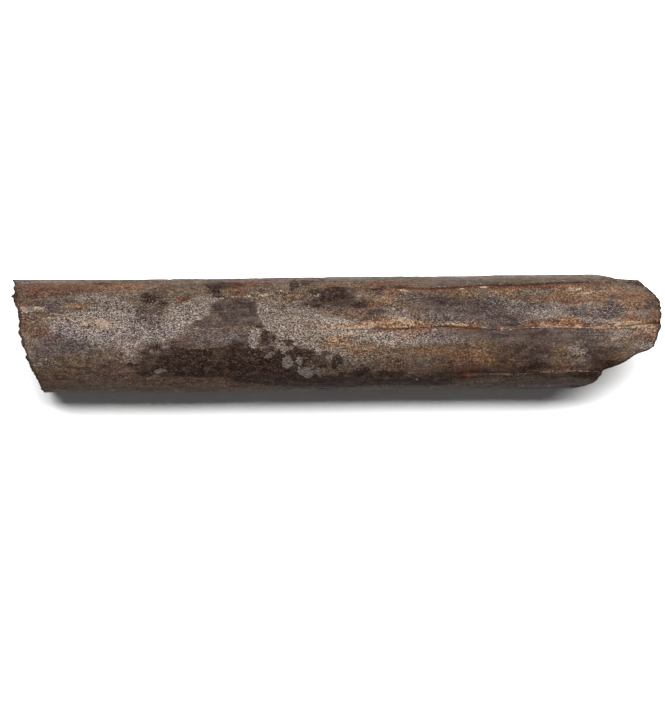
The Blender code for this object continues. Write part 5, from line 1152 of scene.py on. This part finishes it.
    # Lengthwise fibres of the bone, where it is smooth.
    smooth_side = w.times(w.scaled(sandy, 1.0, 0.25), w.scaled(dark_cover, 1.0, 0.45))
    colour = w.mix(w.times(w.band(thread, 0.47, 0.36), smooth_side, 0.45), colour, w.mix(0.6, colour, tint(38, 29, 25)))
    colour = w.mix(w.times(w.band(thread, 0.58, 0.72), smooth_side, 0.35), colour, tint(150, 136, 122))

    colour = w.mix(w.times(w.read("m_scar"), 0.14), colour, tint(150, 134, 116))
    cream = w.mix(w.band(fuzz, 0.35, 0.6), tint(172, 138, 110), tint(228, 206, 182))
    crumbs = w.scaled(w.band(w.noise(mm, 1.7, 2.0, 0.6), 0.42, 0.56), 0.25, 0.95)
    colour = w.mix(w.times(grainy(cover("cream", 0.34, 0.72, 1.9), 0.9), crumbs), colour, cream)

    # Broken faces: reddish sandstone inside a thin dark wall.
    stone = w.mix(w.band(blotch, 0.35, 0.65), tint(126, 92, 68), tint(150, 120, 92))
    stone = w.mix(w.times(w.band(grit, 0.5, 0.42), 0.7), stone, tint(70, 50, 38))
    stone = w.mix(w.times(w.band(grit, 0.54, 0.62), 0.7), stone, tint(206, 186, 158))
    shell = w.mix(w.band(fuzz, 0.35, 0.7), tint(58, 44, 37), tint(104, 86, 72))
    stone = w.mix(w.read("m_wall"), stone, shell)
    colour = w.mix(w.read("m_broken"), colour, stone)
    # Painted shade: the breaks' rounded rims darkened.
    colour = w.mix(w.times(w.band(w.add(w.read("m_edge"), w.times(edge, 0.4)), 0.75, 1.05), 0.55), colour, tint(46, 37, 32))
    # Cracks in their dark colour; the crack mask also holds the painted shadow line along the lower edge.
    colour = w.mix(w.read("m_crack"), colour, tint(62, 32, 22))
    w.join(colour, shader.inputs["Base Color"])

    rough = w.scaled(sandy, 0.52, 0.74)
    rough = w.math("SUBTRACT", rough, w.times(dark_cover, 0.06))
    rough = w.math("SUBTRACT", rough, w.times(wall_and_sheen_cover, 0.06))
    rough = w.math("MULTIPLY_ADD", w.math("SUBTRACT", fuzz, 0.5), 0.22, rough)
    w.join(rough, shader.inputs["Roughness"])
    shader.inputs["Specular IOR Level"].default_value = 0.02

    height = w.add(
        w.times(grit, w.scaled(sandy, 1.0, 2.2)),
        w.times(thread, w.scaled(sandy, 0.55, 0.15)),
        w.times(fuzz, 0.35),
    )
    bump = w.node("ShaderNodeBump")
    bump.inputs["Strength"].default_value = 0.85
    bump.inputs["Distance"].default_value = 0.00016
    w.join(height, bump.inputs["Height"])
    w.join(bump.outputs["Normal"], shader.inputs["Normal"])
    return material


bone = make_piece("wing_bone_surface")
bone.data.materials.append(bone_material())
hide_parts("wing_bone")
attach(bone, "root")


# ---------------------------------------------------------------- floor, light, camera


def make_floor():
    mesh = bpy.data.meshes.new("floor")
    reach = 3.0
    mesh.from_pydata([(-reach, -reach, 0), (reach, -reach, 0), (reach, reach, 0), (-reach, reach, 0)], [], [(0, 1, 2, 3)])
    floor = bpy.data.objects.new("floor", mesh)
    bpy.context.scene.collection.objects.link(floor)
    paint = bpy.data.materials.new("white_floor")
    paint.use_nodes = True
    tree = paint.node_tree
    tree.nodes.clear()
    shader = tree.nodes.new("ShaderNodeBsdfDiffuse")
    seen = tree.nodes.new("ShaderNodeLightPath")
    shade = tree.nodes.new("ShaderNodeMix")
    shade.data_type = "FLOAT"
    shade.inputs[2].default_value, shade.inputs[3].default_value = 0.80, 0.92
    tree.links.new(seen.outputs["Is Camera Ray"], shade.inputs[0])
    tree.links.new(shade.outputs[0], shader.inputs["Color"])
    tree.links.new(shader.outputs[0], tree.nodes.new("ShaderNodeOutputMaterial").inputs["Surface"])
    mesh.materials.append(paint)
    return floor


def make_light(name, tilt, aside, distance, size, power):
    """A soft strip lamp along the bone, tilted from overhead towards +Y and moved to +X."""
    lamp = bpy.data.lights.new(name, "AREA")
    lamp.shape, lamp.energy = "ELLIPSE", power
    lamp.size, lamp.size_y = size
    holder = bpy.data.objects.new(name, lamp)
    tilt = math.radians(tilt)
    holder.location = (aside, distance * math.sin(tilt), distance * math.cos(tilt))
    holder.rotation_euler = (-tilt, 0, 0)
    holder.visible_camera = False
    bpy.context.scene.collection.objects.link(holder)
    return holder


def make_world(level, seen):
    """Even weak light from all round. The camera sees a pale background instead."""
    world = bpy.data.worlds.new("studio")
    bpy.context.scene.world = world
    world.use_nodes = True
    tree = world.node_tree
    tree.nodes.clear()
    out = tree.nodes.new("ShaderNodeOutputWorld")
    mixed = tree.nodes.new("ShaderNodeMixShader")
    path_ = tree.nodes.new("ShaderNodeLightPath")
    for value, socket in ((level, 1), (seen, 2)):
        light = tree.nodes.new("ShaderNodeBackground")
        light.inputs["Color"].default_value = (value, value, value, 1)
        tree.links.new(light.outputs[0], mixed.inputs[socket])
    tree.links.new(path_.outputs["Is Camera Ray"], mixed.inputs[0])
    tree.links.new(mixed.outputs[0], out.inputs[0])


make_floor()
make_light("key", 28.0, 0.20, 1.6, (2.6, 0.95), 108.0)
make_world(0.12, 1.0)

camera_data = bpy.data.cameras.new("camera")
camera_data.lens, camera_data.sensor_width = 250.0, 36.0
camera_data.clip_start, camera_data.clip_end = 0.01, 20.0
camera = bpy.data.objects.new("camera", camera_data)
camera.location = (CAMERA_X * MM, CAMERA_Y * MM, (CAMERA_OFF + SCALE_PLANE) * MM)
bpy.context.scene.collection.objects.link(camera)
bpy.context.scene.camera = camera
bpy.context.scene.view_settings.view_transform = "Standard"
bpy.context.scene.view_settings.look = "None"
